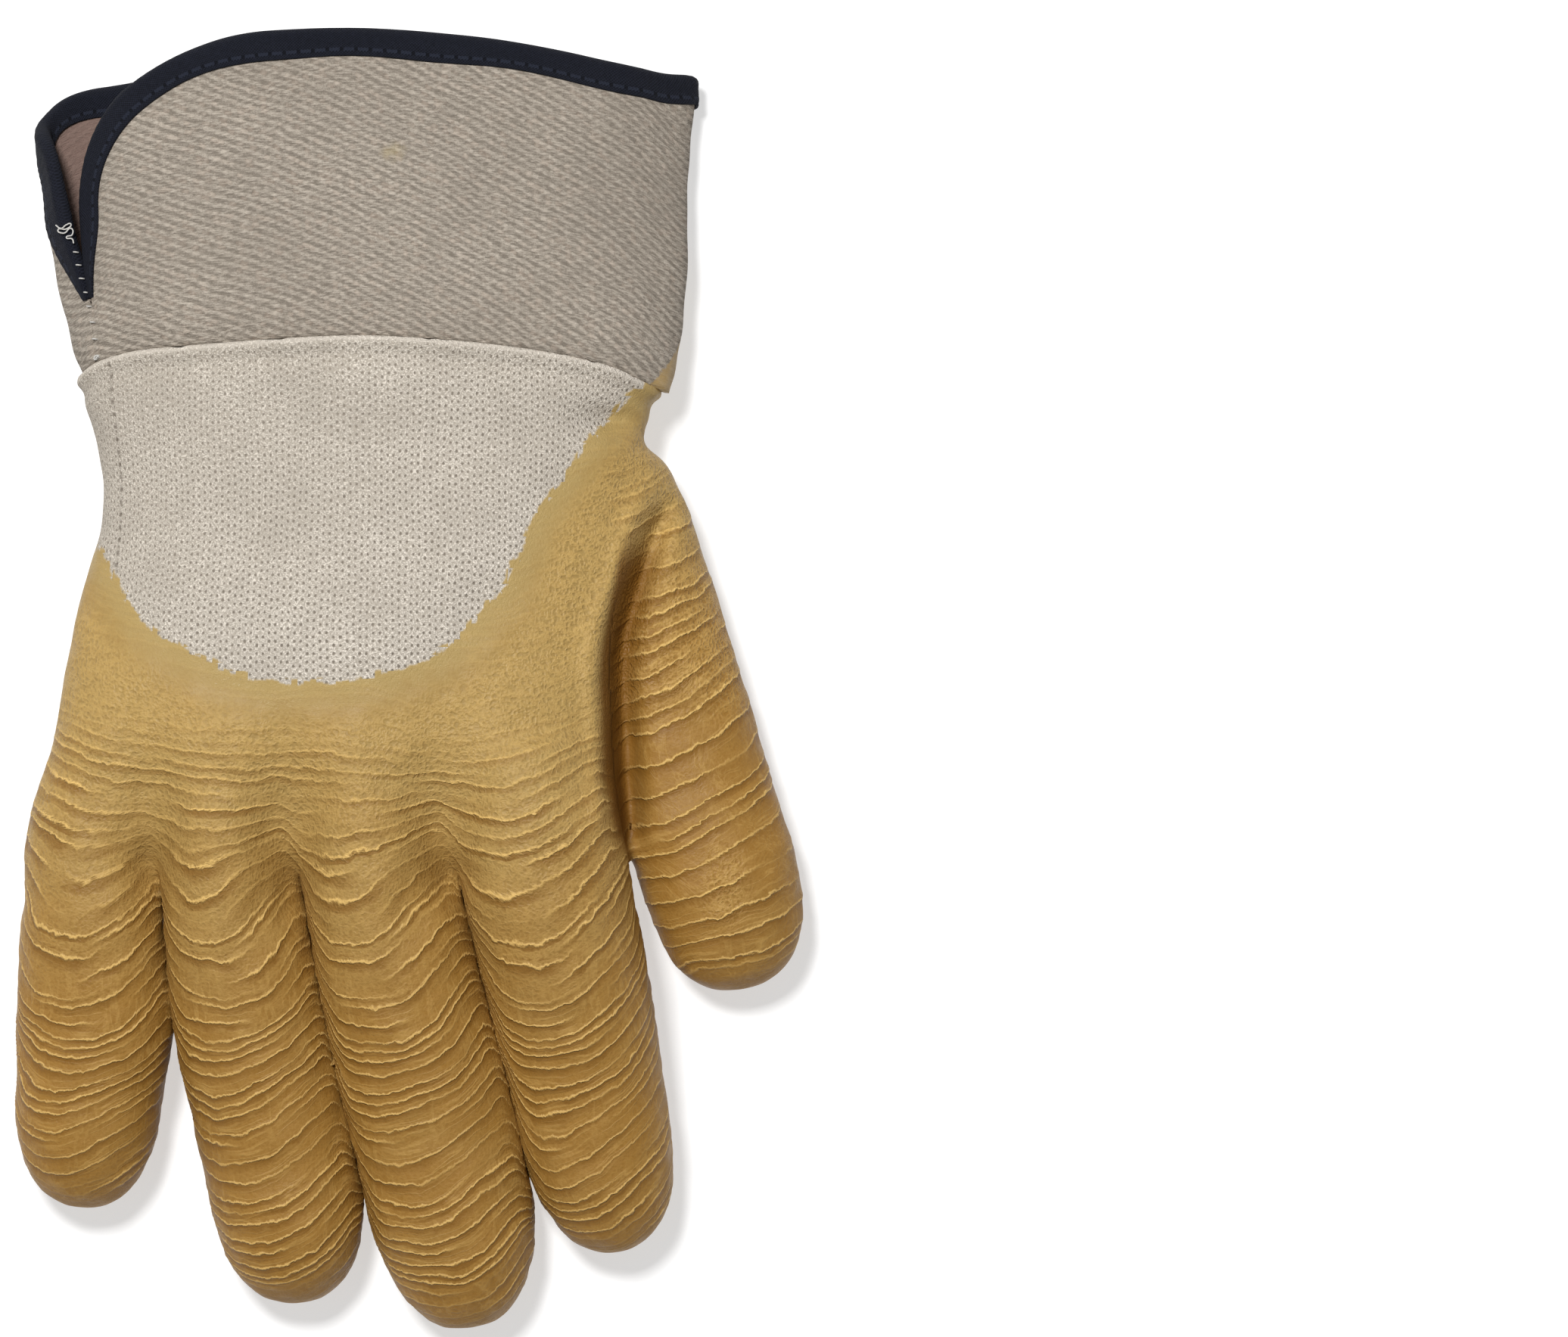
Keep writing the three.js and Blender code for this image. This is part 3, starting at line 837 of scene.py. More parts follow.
@dataclass
class Hand:
    """The padded hand: one wall, in two pieces where the latex ends on the back.

    Args:
        finish: the dipped knit's finish.
        wall: the wall's thickness.
        voxel: the size of the cells in which the digits and the palm are joined.
        palm_squareness: how square the palm's sections are.
        smoothings: how often the joined form is smoothed.
        swell: how far the padding swells it afterwards.
        fingers_from: the y under which points move with the fingers.
        touching: the y where the fingers start to touch, and where they touch fully.
        contact: half the gap between two fingers that touch.
        upper_side: the heights between which the back's hollows fade in.
        lowest: how low the hand's underside lies.
        latex_fade: how far from the bare knit the latex's relief starts, and where it is full.
        rim: how far the wrist's rim rolls in.
        bead: the height, the place and the width of the bead along the wrist's rim.
        groove: the depth, the place and the width of the groove under the bead.
        rubbed: the middle of the rubbed place at the heel, and its size.
    """

    finish: "HandFinish"
    wall: float = 2.6
    voxel: float = 1.5
    palm_squareness: float = 2.5
    smoothings: int = 9
    swell: float = 0.3
    fingers_from: float = -30.0
    touching: tuple[float, float] = (-38, -46)
    contact: float = 0.12
    upper_side: tuple[float, float] = (14, 30)
    lowest: float = 0.02
    latex_fade: tuple[float, float] = (1, 6)
    rim: float = 0.55
    bead: tuple[float, float, float] = (0.45, 1.5, 1.1)
    groove: tuple[float, float, float] = (0.5, 4.2, 2)
    rubbed: tuple[float, float, float, float] = (66, -43, 5, 9)

    def palm_place(self, around: Array, onward: Array) -> Array:
        """Finds points of the palm's form.

        Args:
            around: turns round the section, 0 to 1.
            onward: shares of the palm's length.

        Returns:
            The points.
        """
        rows = np.array([(s.y, s.left, s.right, s.bottom, s.top) for s in PALM])
        at = np.linspace(0, 1, len(rows))
        y, left, right, bottom, top = (np.interp(onward, at, column) for column in rows.T)
        angle = 2 * np.pi * around
        across = signed_power(np.cos(angle), 2 / self.palm_squareness) * (right - left) / 2
        up = signed_power(np.sin(angle), 2 / self.palm_squareness) * (top - bottom) / 2
        return np.stack([(left + right) / 2 + across, y, (bottom + top) / 2 + up], axis=1)

    def joined(self) -> Mesh:
        """Joins the palm and the digits, the fingers held a little apart.

        Returns:
            One closed form.
        """
        bm = bmesh.new()
        add_tube(bm, 72, len(PALM) * 4 - 4, self.palm_place)
        for digit in DIGITS:
            add_tube(bm, 48, 60, digit.place)
        bmesh.ops.recalc_face_normals(bm, faces=bm.faces)
        cells = {"mode": "VOXEL", "voxel_size": self.voxel * MM, "adaptivity": 0.0}
        return modified(mesh_of("joined", bm), "REMESH", **cells)

    def closed_up(self, points: Array) -> Array:
        """Puts the fingers back in their places, pressed flat where they touch.

        Args:
            points: the joined form's points.

        Returns:
            Their new places.
        """
        moved = points.copy()
        far = points[:, 1] < self.fingers_from
        x, y = points[far, :2].T
        weights = np.stack([
            np.exp(-9 * ((x - digit.held_aside(y) - digit.middle(y)) / digit.half(y)) ** 2)
            for digit in DIGITS
        ])
        weights /= weights.sum(0)
        x = x - sum(weight * digit.held_aside(y) for weight, digit in zip(weights, DIGITS))
        meet = smooth_step(*self.touching, y)
        for index, (left, right) in enumerate(zip(FINGERS[:-1], FINGERS[1:])):
            border = (left.middle(y) + left.half(y) + right.middle(y) - right.half(y)) / 2
            side = np.where(np.argmax(weights, axis=0) <= index, 1, -1)
            over = side * (x - border + side * self.contact)
            x = x - side * np.maximum(over, 0) * meet
        moved[far, 0] = x
        return moved

    def settled(self, points: Array) -> Array:
        """Makes the back's hollows, and lays the underside on the floor.

        Args:
            points: the form's points.

        Returns:
            Their new places.
        """
        moved = points.copy()
        upper = smooth_step(*self.upper_side, points[:, 2])
        for dent in DENTS:
            moved[:, 2] -= dent.depth * upper * dent.near(points)
        moved[:, 2] += 0.5 * Unevenness(6, 22, 50).at(points) * upper + lip_lift(points)
        low = moved[:, 2] - 0.25
        moved[:, 2] = 0.5 * (low + np.sqrt(low * low + 1.2)) - 0.1
        return moved

    def surface(self) -> BMesh:
        """Makes the hand's outer surface, cut off at the wrist.

        Returns:
            The surface.
        """
        bm = bmesh_of(self.joined())
        for _ in range(self.smoothings):
            smooth(bm, bm.verts)
        bm.normal_update()
        points = np.array([v.co + v.normal * self.swell * MM for v in bm.verts]) / MM
        points = self.settled(self.closed_up(points))
        points[:, 1] -= seam_y(points[:, 0])
        for vert, point in zip(bm.verts, points):
            vert.co = point * MM
        geometry = [*bm.verts, *bm.edges, *bm.faces]
        wrist = {"plane_co": (0, 0, 0), "plane_no": (0, 1, 0)}
        bmesh.ops.bisect_plane(bm, geom=geometry, clear_outer=True, **wrist)
        rim = [v for v in bm.verts if v.co.y > -1 * MM]
        bmesh.ops.remove_doubles(bm, verts=rim, dist=0.35 * MM)
        levels = seam_y(np.array([v.co.x for v in bm.verts]) / MM)
        for vert, level in zip(bm.verts, levels):
            vert.co.y += level * MM
        bm.normal_update()
        return bm

    def parted(self, bm: BMesh) -> dict[Patch, Mesh]:
        """Parts the surface along the latex's line.

        Args:
            bm: the surface, which is freed.

        Returns:
            The latex and the bare patch.
        """
        points = np.array([v.co for v in bm.verts]) / MM
        distance = bare_distance(points)
        bm.verts.index_update()
        bare = [np.mean([distance[v.index] for v in f.verts]) < 0 for f in bm.faces]
        is_bare = dict(zip(bm.faces, bare))
        step = 0.2
        slopes = np.stack([(bare_distance(points + way) - distance) / step for way in step * np.eye(3)], 1)
        outward = bm.verts.layers.float_vector.new("outward")
        for vert, slope, away in zip(bm.verts, slopes, distance):
            vert[outward] = vert.normal
            if len({is_bare[f] for f in vert.link_faces}) == 2:
                slope = Vector(slope)
                slope -= slope.project(vert.normal)
                vert.co -= slope * (away * MM / max(slope.length_squared, 0.25))
        made = {}
        for patch in Patch:
            part = bm.copy()
            wrong = [f for f, kind in zip(part.faces, bare) if kind != (patch is Patch.KNIT)]
            bmesh.ops.delete(part, geom=wrong, context="FACES")
            made[patch] = mesh_of(patch.value, part)
        bm.free()
        return made

    def walled(self, patch: Mesh) -> Mesh:
        """Makes a patch a wall, its outer side cut finer.

        Args:
            patch: the patch, which is removed.

        Returns:
            The wall.
        """
        count = len(patch.polygons)
        wall = {"thickness": self.wall * MM, "offset": -1.0, "use_even_offset": False, "use_rim": True}
        bm = bmesh_of(modified(patch, "SOLIDIFY", **wall))
        outer = bm.faces.layers.int.new("outer")
        shown = bm.verts.layers.float.new("shown")
        bm.faces.ensure_lookup_table()
        outer_faces = bm.faces[:count]
        inner = {v for f in bm.faces[count : 2 * count] for v in f.verts}
        for face in outer_faces:
            face[outer] = 1
        for vert in bm.verts:
            vert[shown] = 0.0 if vert in inner else 1.0
        edges = list({e for f in outer_faces for e in f.edges})
        bmesh.ops.subdivide_edges(bm, edges=edges, cuts=1, use_grid_fill=True)
        smooth(bm, [v for v in bm.verts if all(f[outer] for f in v.link_faces)])
        bm.faces.layers.int.remove(outer)
        return mesh_of("walled", bm)

    def shaped(self, mesh: Mesh) -> None:
        """Raises the outer side's creases, rolls its rim in, and attaches what its finish reads.

        Args:
            mesh: the wall.
        """
        points = places_of(mesh)
        x, y, _ = points.T
        shown = attached(mesh, "shown") > 0.9
        outward = unit(attached(mesh, "outward", True))
        flow, dip, edge = Flow(points), bare_distance(points), seam_y(x) - y
        latex = smooth_step(*self.latex_fade, dip)
        height = latex * (flow.relief() + 0.1 * Unevenness(7, 4, 9).at(points))
        height += 0.12 * Unevenness(8, 6, 15).at(points)
        roll = np.clip(1 - edge / self.rim, 0, 1)
        height -= self.rim * 0.7 * (1 - np.sqrt(np.maximum(0, 1 - roll * roll)))
        (high, *bead), (deep, *groove) = self.bead, self.groove
        height += high * bell(edge, *bead) - deep * bell(edge, *groove)
        under = smooth_step(-0.3, -0.8, outward[:, 2])
        rub_x, rub_y, rub_across, rub_along = self.rubbed
        crepe = np.maximum.reduce([
            smooth_step(26, 44, y) * under,
            0.3 * under,
            smooth_step(-18, 4, y) * smooth_step(3, 9, dip) * smooth_step(20, 34, x) * (1 - under),
            0.85 * smooth_step(4, 12, dip) * (1 - 0.75 * flow.deep),
            1.2 * bell(x, rub_x, rub_across) * bell(y, rub_y, rub_along) * (1 - under),
        ])
        moved = points + outward * (height * shown)[:, None]
        moved[:, 2] = np.maximum(moved[:, 2], self.lowest)
        move_to(mesh, moved)
        flow.attach_to(mesh)
        attach(mesh, "dip", dip)
        attach(mesh, "crepe", np.clip(crepe, 0, 1))
        attach(mesh, "stitch", np.stack([self.girth_place(points), -y, edge], axis=1))

    def girth_place(self, points: Array) -> Array:
        """Finds places across the back, which run on down its sides.

        Args:
            points: the hand's points.

        Returns:
            The places, in millimetres.
        """
        x, y, z = points.T
        level, *sides = zip(*((s.y, s.left, s.right, s.top) for s in reversed(PALM)))
        left, right, top = (np.interp(y, level, side) for side in sides)
        return x + 0.8 * (top - z) * np.tanh((x - (left + right) / 2) / 14)

    def build(self) -> dict[Patch, Object]:
        """Makes the hand's two pieces.

        Returns:
            The pieces.
        """
        made = {}
        for patch, flat in self.parted(self.surface()).items():
            mesh = self.walled(flat)
            self.shaped(mesh)
            made[patch] = finished(patch.value, mesh, self.finish.material(patch))
        self.match_normals([piece.data for piece in made.values()])
        return made

    def match_normals(self, meshes: Sequence[Mesh]) -> None:
        """Gives both pieces one normal where they meet, so that the light runs on over the line.

        Args:
            meshes: the two pieces' meshes.
        """
        sums: dict[tuple[int, ...], Array] = {}
        owners: dict[tuple[int, ...], set[int]] = {}
        keys = [[tuple(place) for place in np.round(places_of(mesh) * 200).astype(int)] for mesh in meshes]
        for number, mesh in enumerate(meshes):
            shown = attached(mesh, "shown") > 0.9
            for polygon in mesh.polygons:
                if all(shown[i] for i in polygon.vertices):
                    push = np.array(polygon.normal) * polygon.area
                    for i in polygon.vertices:
                        key = keys[number][i]
                        sums[key] = sums.get(key, 0) + push
                        owners.setdefault(key, set()).add(number)
        for number, mesh in enumerate(meshes):
            normals = np.zeros((len(mesh.vertices), 3))
            for i, key in enumerate(keys[number]):
                if len(owners.get(key, ())) > 1:
                    normals[i] = sums[key] / max(np.linalg.norm(sums[key]), 1e-12)
            mesh.normals_split_custom_set_from_vertices(normals.tolist())


# The cuff


@dataclass(frozen=True)
class CuffRow:
    """A place round the cuff's cloth: at the wrist, at the slit's foot and at the mouth."""

    turn: float
    foot_x: float
    foot_z: float
    mouth_x: float
    mouth_z: float
    tall: float


CUFF_ROWS = rows_of(
    CuffRow,
    (157, -64.2, 22.9, -78.6, 14, 55.6), (190, -70.4, 12, -77.6, 6, 55.4),
    (222, -62, 3, -66, 2.6, 54.2), (247, -36, 1.1, -39, 2.4, 58), (270, -7, 1.05, -8, 2.4, 62.2),
    (293, 23, 1.1, 26, 2.4, 60.5), (325, 47, 3.6, 51, 3, 60.5), (360, 56, 12.5, 58.8, 7.4, 64.7),
    (398, 46, 23, 49, 14, 61), (434, 15, 28.4, 16, 21.5, 61.7), (463, -26, 29.8, -29, 25.5, 61.9),
    (493, -55, 27.6, -56, 24, 61.3), (517, -64.2, 22.9, -68.5, 18.5, 62),
)
FILM_EDGE = (
    (-70, 64), (-58.6, 67.3), (-54, 75.5), (-47.9, 82.2), (-41.7, 88.9), (-34.5, 93.5), (-23.2, 94),
    (-8.9, 96.5), (1.4, 96.2), (9.6, 94.5), (17.8, 95), (21.9, 94), (26, 97.6), (35.2, 98.1),
    (45.5, 89.9), (52.6, 88.9), (61.4, 82.2),
)
FILM_EDGE_BACK = ((40, 55), (50, 59), (54, 66), (57, 72), (61.4, 82.2))


@dataclass
class CuffCloth:
    """The drill cloth as a curved sheet: across it from the slit's lower edge, and along it from
    the wrist seam to the mouth.

    Args:
        wall: the cloth's thickness.
        seam_gap: how far it stands off the wrist seam.
        slit_foot: how high the slit starts.
        slit_open: where the cloth has the mouth's full size.
        slit_ease: how fast it opens.
        palm_corner: the width and the depth of its rounded corner on the palm's side.
        back_corner: those of the corner on the back.
        squareness: how square the wrist is.
        tuck: how far the wrist seam draws it in.
        soft: the height of its long wrinkles.
        crisp: the height of its short wrinkles.
        pucker: the height of the folds that the wrist seam draws it into.
        pucker_pitch: how far those folds lie apart.
    """

    wall: float = 1.8
    seam_gap: float = 0.05
    slit_foot: float = 12.4
    slit_open: float = 62.0
    slit_ease: float = 0.8
    palm_corner: tuple[float, float] = (21, 17)
    back_corner: tuple[float, float] = (42, 32)
    squareness: float = 2.5
    tuck: float = 0.8
    soft: float = 0.55
    crisp: float = 0.18
    pucker: float = 0.22
    pucker_pitch: float = 7.3

    def __post_init__(self) -> None:
        """Lays out the cloth's three lines round the cuff."""
        palm = PALM[1]
        turns = np.radians([row.turn for row in CUFF_ROWS])
        half = self.wall / 2
        wide = ((palm.right - palm.left) / 2 - half) * signed_power(np.cos(turns), 2 / self.squareness)
        high = ((palm.top - palm.bottom) / 2 - half) * signed_power(np.sin(turns), 2 / self.squareness)
        middle = ((palm.left + palm.right) / 2, (palm.bottom + palm.top) / 2)
        wrist = np.stack([middle[0] + wide, 0 * turns, middle[1] + high], 1)
        self.wrist = Spline(wrist[:-1], True)
        self.foot = Spline(np.array([(row.foot_x, 0, row.foot_z) for row in CUFF_ROWS[:-1]]), True)
        self.mouth = Spline(np.array([(row.mouth_x, row.tall, row.mouth_z) for row in CUFF_ROWS]))
        self.steps = np.linspace(0, 1, 1201)
        self.arc = arc_of(self.mouth.at(self.steps))
        self.length = float(self.arc[-1])
        self.fold = float(np.interp(7 / 12, self.steps, self.arc))

    def plain_point(self, across: Array, along: Array) -> Array:
        """Finds points of the cloth's middle, before its wrinkles.

        Args:
            across: the places across the cloth.
            along: the places along it.

        Returns:
            The points.
        """
        turn = np.interp(np.clip(across, 0, self.length), self.arc, self.steps)
        wrist, foot, mouth = self.wrist.at(turn), self.foot.at(turn), self.mouth.at(turn)
        low = np.clip(along / self.slit_foot, 0, 1)[:, None]
        open_share = np.clip((along - self.slit_foot) / (self.slit_open - self.slit_foot), 0, 1)
        point = wrist + (foot - wrist) * low
        point += (mouth - point) * (open_share**self.slit_ease)[:, None]
        point[:, 1] = seam_y(wrist[:, 0]) + self.seam_gap + along
        return point

    def normal(self, across: Array, along: Array) -> Array:
        """Finds the cloth's outward normals.

        Args:
            across: the places across the cloth.
            along: the places along it.

        Returns:
            The normals.
        """
        step = 0.5
        a = np.clip(across, step, self.length - step)
        across_way = self.plain_point(a + step, along) - self.plain_point(a - step, along)
        along_way = self.plain_point(a, along + step) - self.plain_point(a, along - step)
        return unit(np.cross(along_way, across_way))

    def point(self, across: Array, along: Array, side: Array | float = 0.0) -> Array:
        """Finds points of the cloth with its wrinkles, and straight on past its ends.

        Args:
            across: the places across the cloth.
            along: the places along it.
            side: how far the points stand out of its middle.

        Returns:
            The points.
        """
        inner = np.clip(across, 0, self.length)
        beyond = across - inner
        end = self.plain_point(inner, along)
        back = self.plain_point(np.abs(inner - 0.5 * np.sign(beyond)), along)
        place = end + unit(end - back) * np.abs(beyond)[:, None]
        lift = self.wrinkle(inner, along) + side
        return place + self.normal(inner, along) * np.asarray(lift)[:, None]

    def wrinkle(self, across: Array, along: Array) -> Array:
        """Finds how far the cloth's wrinkles stand out.

        Args:
            across: the places across the cloth.
            along: the places along it.

        Returns:
            The height, in millimetres.
        """
        flat = np.stack([across, along], axis=1)
        soft = self.soft * Unevenness(11, 26, 60).at(flat) * smooth_step(4, 30, along)
        crisp = self.crisp * Unevenness(12, 7, 16).at(flat) * smooth_step(0, 12, along)
        turns = across * 2 * np.pi / self.pucker_pitch
        pull = np.sin(turns + 2 * Unevenness(13, 20, 50).at(flat))
        pucker = self.pucker * pull * np.exp(-along / 5)
        return soft + crisp + pucker - self.tuck * bell(along, 0, 3)

    def height(self, across: Array) -> Array:
        """Finds the height of the cloth's cut edge, which rounds off towards the slit.

        Args:
            across: the places across the cloth.

        Returns:
            The heights.
        """
        tall = self.mouth.at(np.interp(across, self.arc, self.steps))[:, 1]
        corners = (across, self.palm_corner), (self.length - across, self.back_corner)
        for distance, (width, depth) in corners:
            short = np.maximum(0, 1 - distance / width)
            tall = tall - depth * (1 - np.sqrt(1 - short * short))
        return tall

    def area(self) -> float:
        """Returns the flat cloth's area, in square metres."""
        across = np.linspace(0, self.length, 800)
        return float(np.trapz(self.height(across), across)) * MM * MM


@dataclass
class Cuff:
    """The drill cuff and the tape over its free edge.

    Args:
        cloth: the cloth's surface.
        drill: the cloth's finish.
        tape: the binding's finish.
        columns: faces across the cloth.
        rows: faces along it.
        crowding: how much closer the columns lie at its ends.
        tape_wall: the tape's thickness.
        tape_depth: how far it reaches over the cloth.
        tape_start: how high above the wrist its ends are.
        tape_taper: how far from its ends it has its full depth.
        tape_rows: how many sections it has.
        tape_pitch: how far apart two of them lie in its UV map, in millimetres.
    """

    cloth: CuffCloth
    drill: Material
    tape: Material
    columns: int = 320
    rows: int = 52
    crowding: float = 0.9
    tape_wall: float = 0.75
    tape_depth: float = 4.3
    tape_start: float = 13.2
    tape_taper: float = 17.0
    tape_rows: int = 560
    tape_pitch: float = 0.55

    def across_at(self, share: Array) -> Array:
        """Returns places across the cloth, closer together towards its two ends."""
        return self.cloth.length * (share - self.crowding * np.sin(2 * np.pi * share) / (2 * np.pi))

    def cloth_place(self, share: Array, rise: Array) -> Array:
        """Returns points of the cloth for shares of its width and its height."""
        across = self.across_at(share)
        return self.cloth.point(across, rise * self.cloth.height(across))

    def cloth_uv(self, share: Array, rise: Array) -> Array:
        """Returns the cloth's UV for shares of its width and its height."""
        across = self.across_at(share)
        return np.stack([across - self.cloth.fold, rise * self.cloth.height(across)], axis=1) * UV_UNIT

    def build_cloth(self) -> Object:
        """Makes the cuff's cloth.

        Returns:
            The piece.
        """
        bm = bmesh.new()
        made = grid_onto(bm, self.columns, self.rows, self.cloth_place, self.cloth_uv)
        bmesh.ops.remove_doubles(bm, verts=made, dist=0.05 * MM)
        bmesh.ops.recalc_face_normals(bm, faces=bm.faces)
        flat = mesh_of("cuff", bm)
        x, y, z = places_of(flat).T
        fold_x = np.interp(y, (60, 134), (57.2, 60.7)).max()
        upper = z > np.interp(x, (-70, 50, fold_x), (13, 11, 9))
        under_edge, over_edge = (np.interp(x, *zip(*edge)) for edge in (FILM_EDGE, FILM_EDGE_BACK))
        attach(flat, "film", np.where(upper, over_edge, under_edge) - y)
        wall = {"thickness": self.cloth.wall * MM, "offset": 0.0, "use_even_offset": True, "use_rim": True}
        mesh = modified(flat, "SOLIDIFY", **wall)
        # marks the cloth's inner side, which the finish paints darker as shade
        inner = np.zeros(len(mesh.vertices))
        inner[len(x) : 2 * len(x)] = 1
        attach(mesh, "inner", inner)
        return finished("drill_cuff", mesh, self.drill)

    def edge_line(self) -> tuple[Array, Array]:
        """Finds the line that the tape follows.

        Returns:
            Its points on the cloth, and its ways outwards there.
        """
        cloth = self.cloth
        low, high = cloth.height(np.array([0.0, cloth.length]))
        first = np.linspace(self.tape_start, low, 24)[:-1]
        last = np.linspace(high, self.tape_start, 30)[1:]
        across = self.across_at(np.linspace(0, 1, 420))
        line = np.vstack([
            np.stack([0 * first, first], 1),
            np.stack([across, cloth.height(across)], 1),
            np.stack([0 * last + cloth.length, last], 1),
        ])
        arc = arc_of(line)
        even = np.linspace(0, arc[-1], self.tape_rows)
        line = np.stack([np.interp(even, arc, column) for column in line.T], 1)
        ways = np.gradient(line, axis=0)
        return line, unit(np.stack([-ways[:, 1], ways[:, 0]], 1))

    def profile(self) -> Array:
        """Lays out the tape's section.

        Returns:
            Its points, out of the edge and to the side.
        """
        half = self.cloth.wall / 2 + 0.05
        outer, lip = half + self.tape_wall, half + 0.3 * self.tape_wall
        turns = np.linspace(-np.pi / 2, np.pi / 2, 9)
        bend = np.stack([0.25 + (outer - 0.1) * np.cos(turns), outer * np.sin(turns)], 1)
        inside = np.stack([0.2 + 0.3 * np.cos(turns[::-4]), half * np.sin(turns[::-4])], 1)
        depth = -self.tape_depth
        legs = [(depth * s, -outer) for s in (1, 0.97, 0.8, 0.62, 0.5, 0.25)]
        legs_back = [(out, -side) for out, side in reversed(legs)]
        ends = (depth - 0.1, -lip), (depth - 0.1, lip)
        return np.array([ends[0], *legs, *bend, *legs_back, ends[1], (depth, half), *inside, (depth, -half)])

    def build_tape(self) -> Object:
        """Makes the tape that binds the cloth's free edge.

        Returns:
            The piece.
        """
        line, outwards = self.edge_line()
        profile = self.profile()
        rows = np.arange(len(line))
        from_end = np.minimum(rows, rows[::-1]) * np.linalg.norm(line[1] - line[0])
        depth = 0.1 + 0.9 * smooth_step(-0.2 * self.tape_taper, self.tape_taper, from_end)

        def where(share: Array, rise: Array) -> tuple[Array, Array, Array]:
            """Returns the row of the line, and the section's way out and to the side."""
            i = np.round(share * (len(line) - 1)).astype(int)
            j = np.round(rise * len(profile)).astype(int) % len(profile)
            return i, profile[j, 0], profile[j, 1]

        def place(share: Array, rise: Array) -> Array:
            """Finds points of the tape.

            Args:
                share: shares of the tape's length.
                rise: turns round its section.

            Returns:
                The points.
            """
            i, out, side = where(share, rise)
            out = out * depth[i] + 0.25 * np.sin(i * 0.11) * (out < -2)
            at = line[i] + outwards[i] * out[:, None]
            bulge = 0.14 * Unevenness(15, 9, 22).at(line[i]) + 0.05 * np.sin(i * 1.9)
            return self.cloth.point(at[:, 0], at[:, 1], side + bulge * np.sign(side))

        def uv(share: Array, rise: Array) -> Array:
            """Returns the tape's UV, along it and out of the edge."""
            i, out, _ = where(share, rise)
            return np.stack([i * self.tape_pitch, out], 1) * UV_UNIT

        bm = bmesh.new()
        add_tube(bm, len(line) - 1, len(profile), place, uv)
        bmesh.ops.recalc_face_normals(bm, faces=bm.faces)
        return finished("binding_tape", mesh_of("tape", bm), self.tape)


# Threads


STITCHES = (
    (-68.2, 88.3), (-67.6, 85.6), (-66.9, 82.8), (-66, 79.9), (-65.3, 77), (-64.5, 73.7),
    (-64, 70.2),
)
KNOT = (-63.7, 66.4)
LOOSE_END = (
    (-72.4, 93.9, 0.2), (-71.2, 93.2, 0.5), (-70.2, 93.9, 0.8), (-69.2, 94.1, 0.6),
    (-70.1, 93.1, 0.4), (-71.9, 92.9, 0.5), (-70.6, 92.2, 0.9), (-69.1, 93.2, 0.7),
    (-68.9, 91.9, 0.5), (-70.1, 91.3, 0.8), (-68.9, 91.0, 0.6), (-68.6, 90.1, 0.3),
)


@dataclass
class Threads:
    """The white threads at the slit: stitches, a knot and a loose end.

    Args:
        cloth: the cuff's cloth.
        finish: the thread's material.
        thick: the thread's thickness.
        above: how far over the cloth's middle the threads lie.
    """

    cloth: CuffCloth
    finish: Material
    thick: float = 0.3
    above: float = 1.75

    def build(self) -> Object:
        """Makes the threads.

        Returns:
            One piece.
        """
        curve = bpy.data.curves.new("threads", "CURVE")
        curve.dimensions = "3D"
        curve.bevel_depth = self.thick / 2 * MM
        curve.bevel_resolution = 2
        curve.resolution_u = 6
        curve.use_fill_caps = True
        for line in self.lines():
            spline = curve.splines.new("BEZIER")
            spline.bezier_points.add(len(line) - 1)
            for knot, place in zip(spline.bezier_points, line):
                knot.co = Vector(place) * MM
                knot.handle_left_type = knot.handle_right_type = "AUTO"
        curve.materials.append(self.finish)
        LOG.info("slit_threads: %d strands", len(curve.splines))
        return new_object("slit_threads", curve)

    def on_back(self, x: float, y: float, lift: float) -> Array:
        """Finds the point over the back's cloth, or over its slit edge, that is seen at x and y.

        Args:
            x: the place from left to right.
            y: the place from the fingertips to the cuff.
            lift: how much further over the cloth the point lies.

        Returns:
            The point.
        """
        across = np.linspace(self.cloth.length, self.cloth.length - 12, 49)
        along = np.full(49, y - seam_y(x) - self.cloth.seam_gap)
        line = self.cloth.point(across, along, self.above + lift)
        return np.array([x, y, line[np.argmin(np.abs(line[:, 0] - x)), 2]])

    def lines(self) -> list[Array]:
        """Lays out the strands.

        Returns:
            Their lines, in millimetres.
        """
        stitch = np.array([(-0.5, 0.05, -0.35), (0, 0, 0.1), (0.5, -0.05, -0.35)])
        turns = np.linspace(0, 3.6 * np.pi, 15)
        knot = np.stack([0.5 * np.cos(turns), 0.45 * np.sin(turns * 1.3), 0.3 * np.sin(turns * 1.6)], 1)
        return [
            *(self.on_back(x, y, -0.15) + stitch for x, y in STITCHES),
            self.on_back(*KNOT, -0.5) + knot,
            np.array([self.on_back(*place) for place in LOOSE_END]),
        ]


# Finishes


SOCKET_KINDS = {"VALUE": "NodeSocketFloat", "VECTOR": "NodeSocketVector", "RGBA": "NodeSocketColor"}
UV_TO_MM = (100.0, 100.0, 1.0)


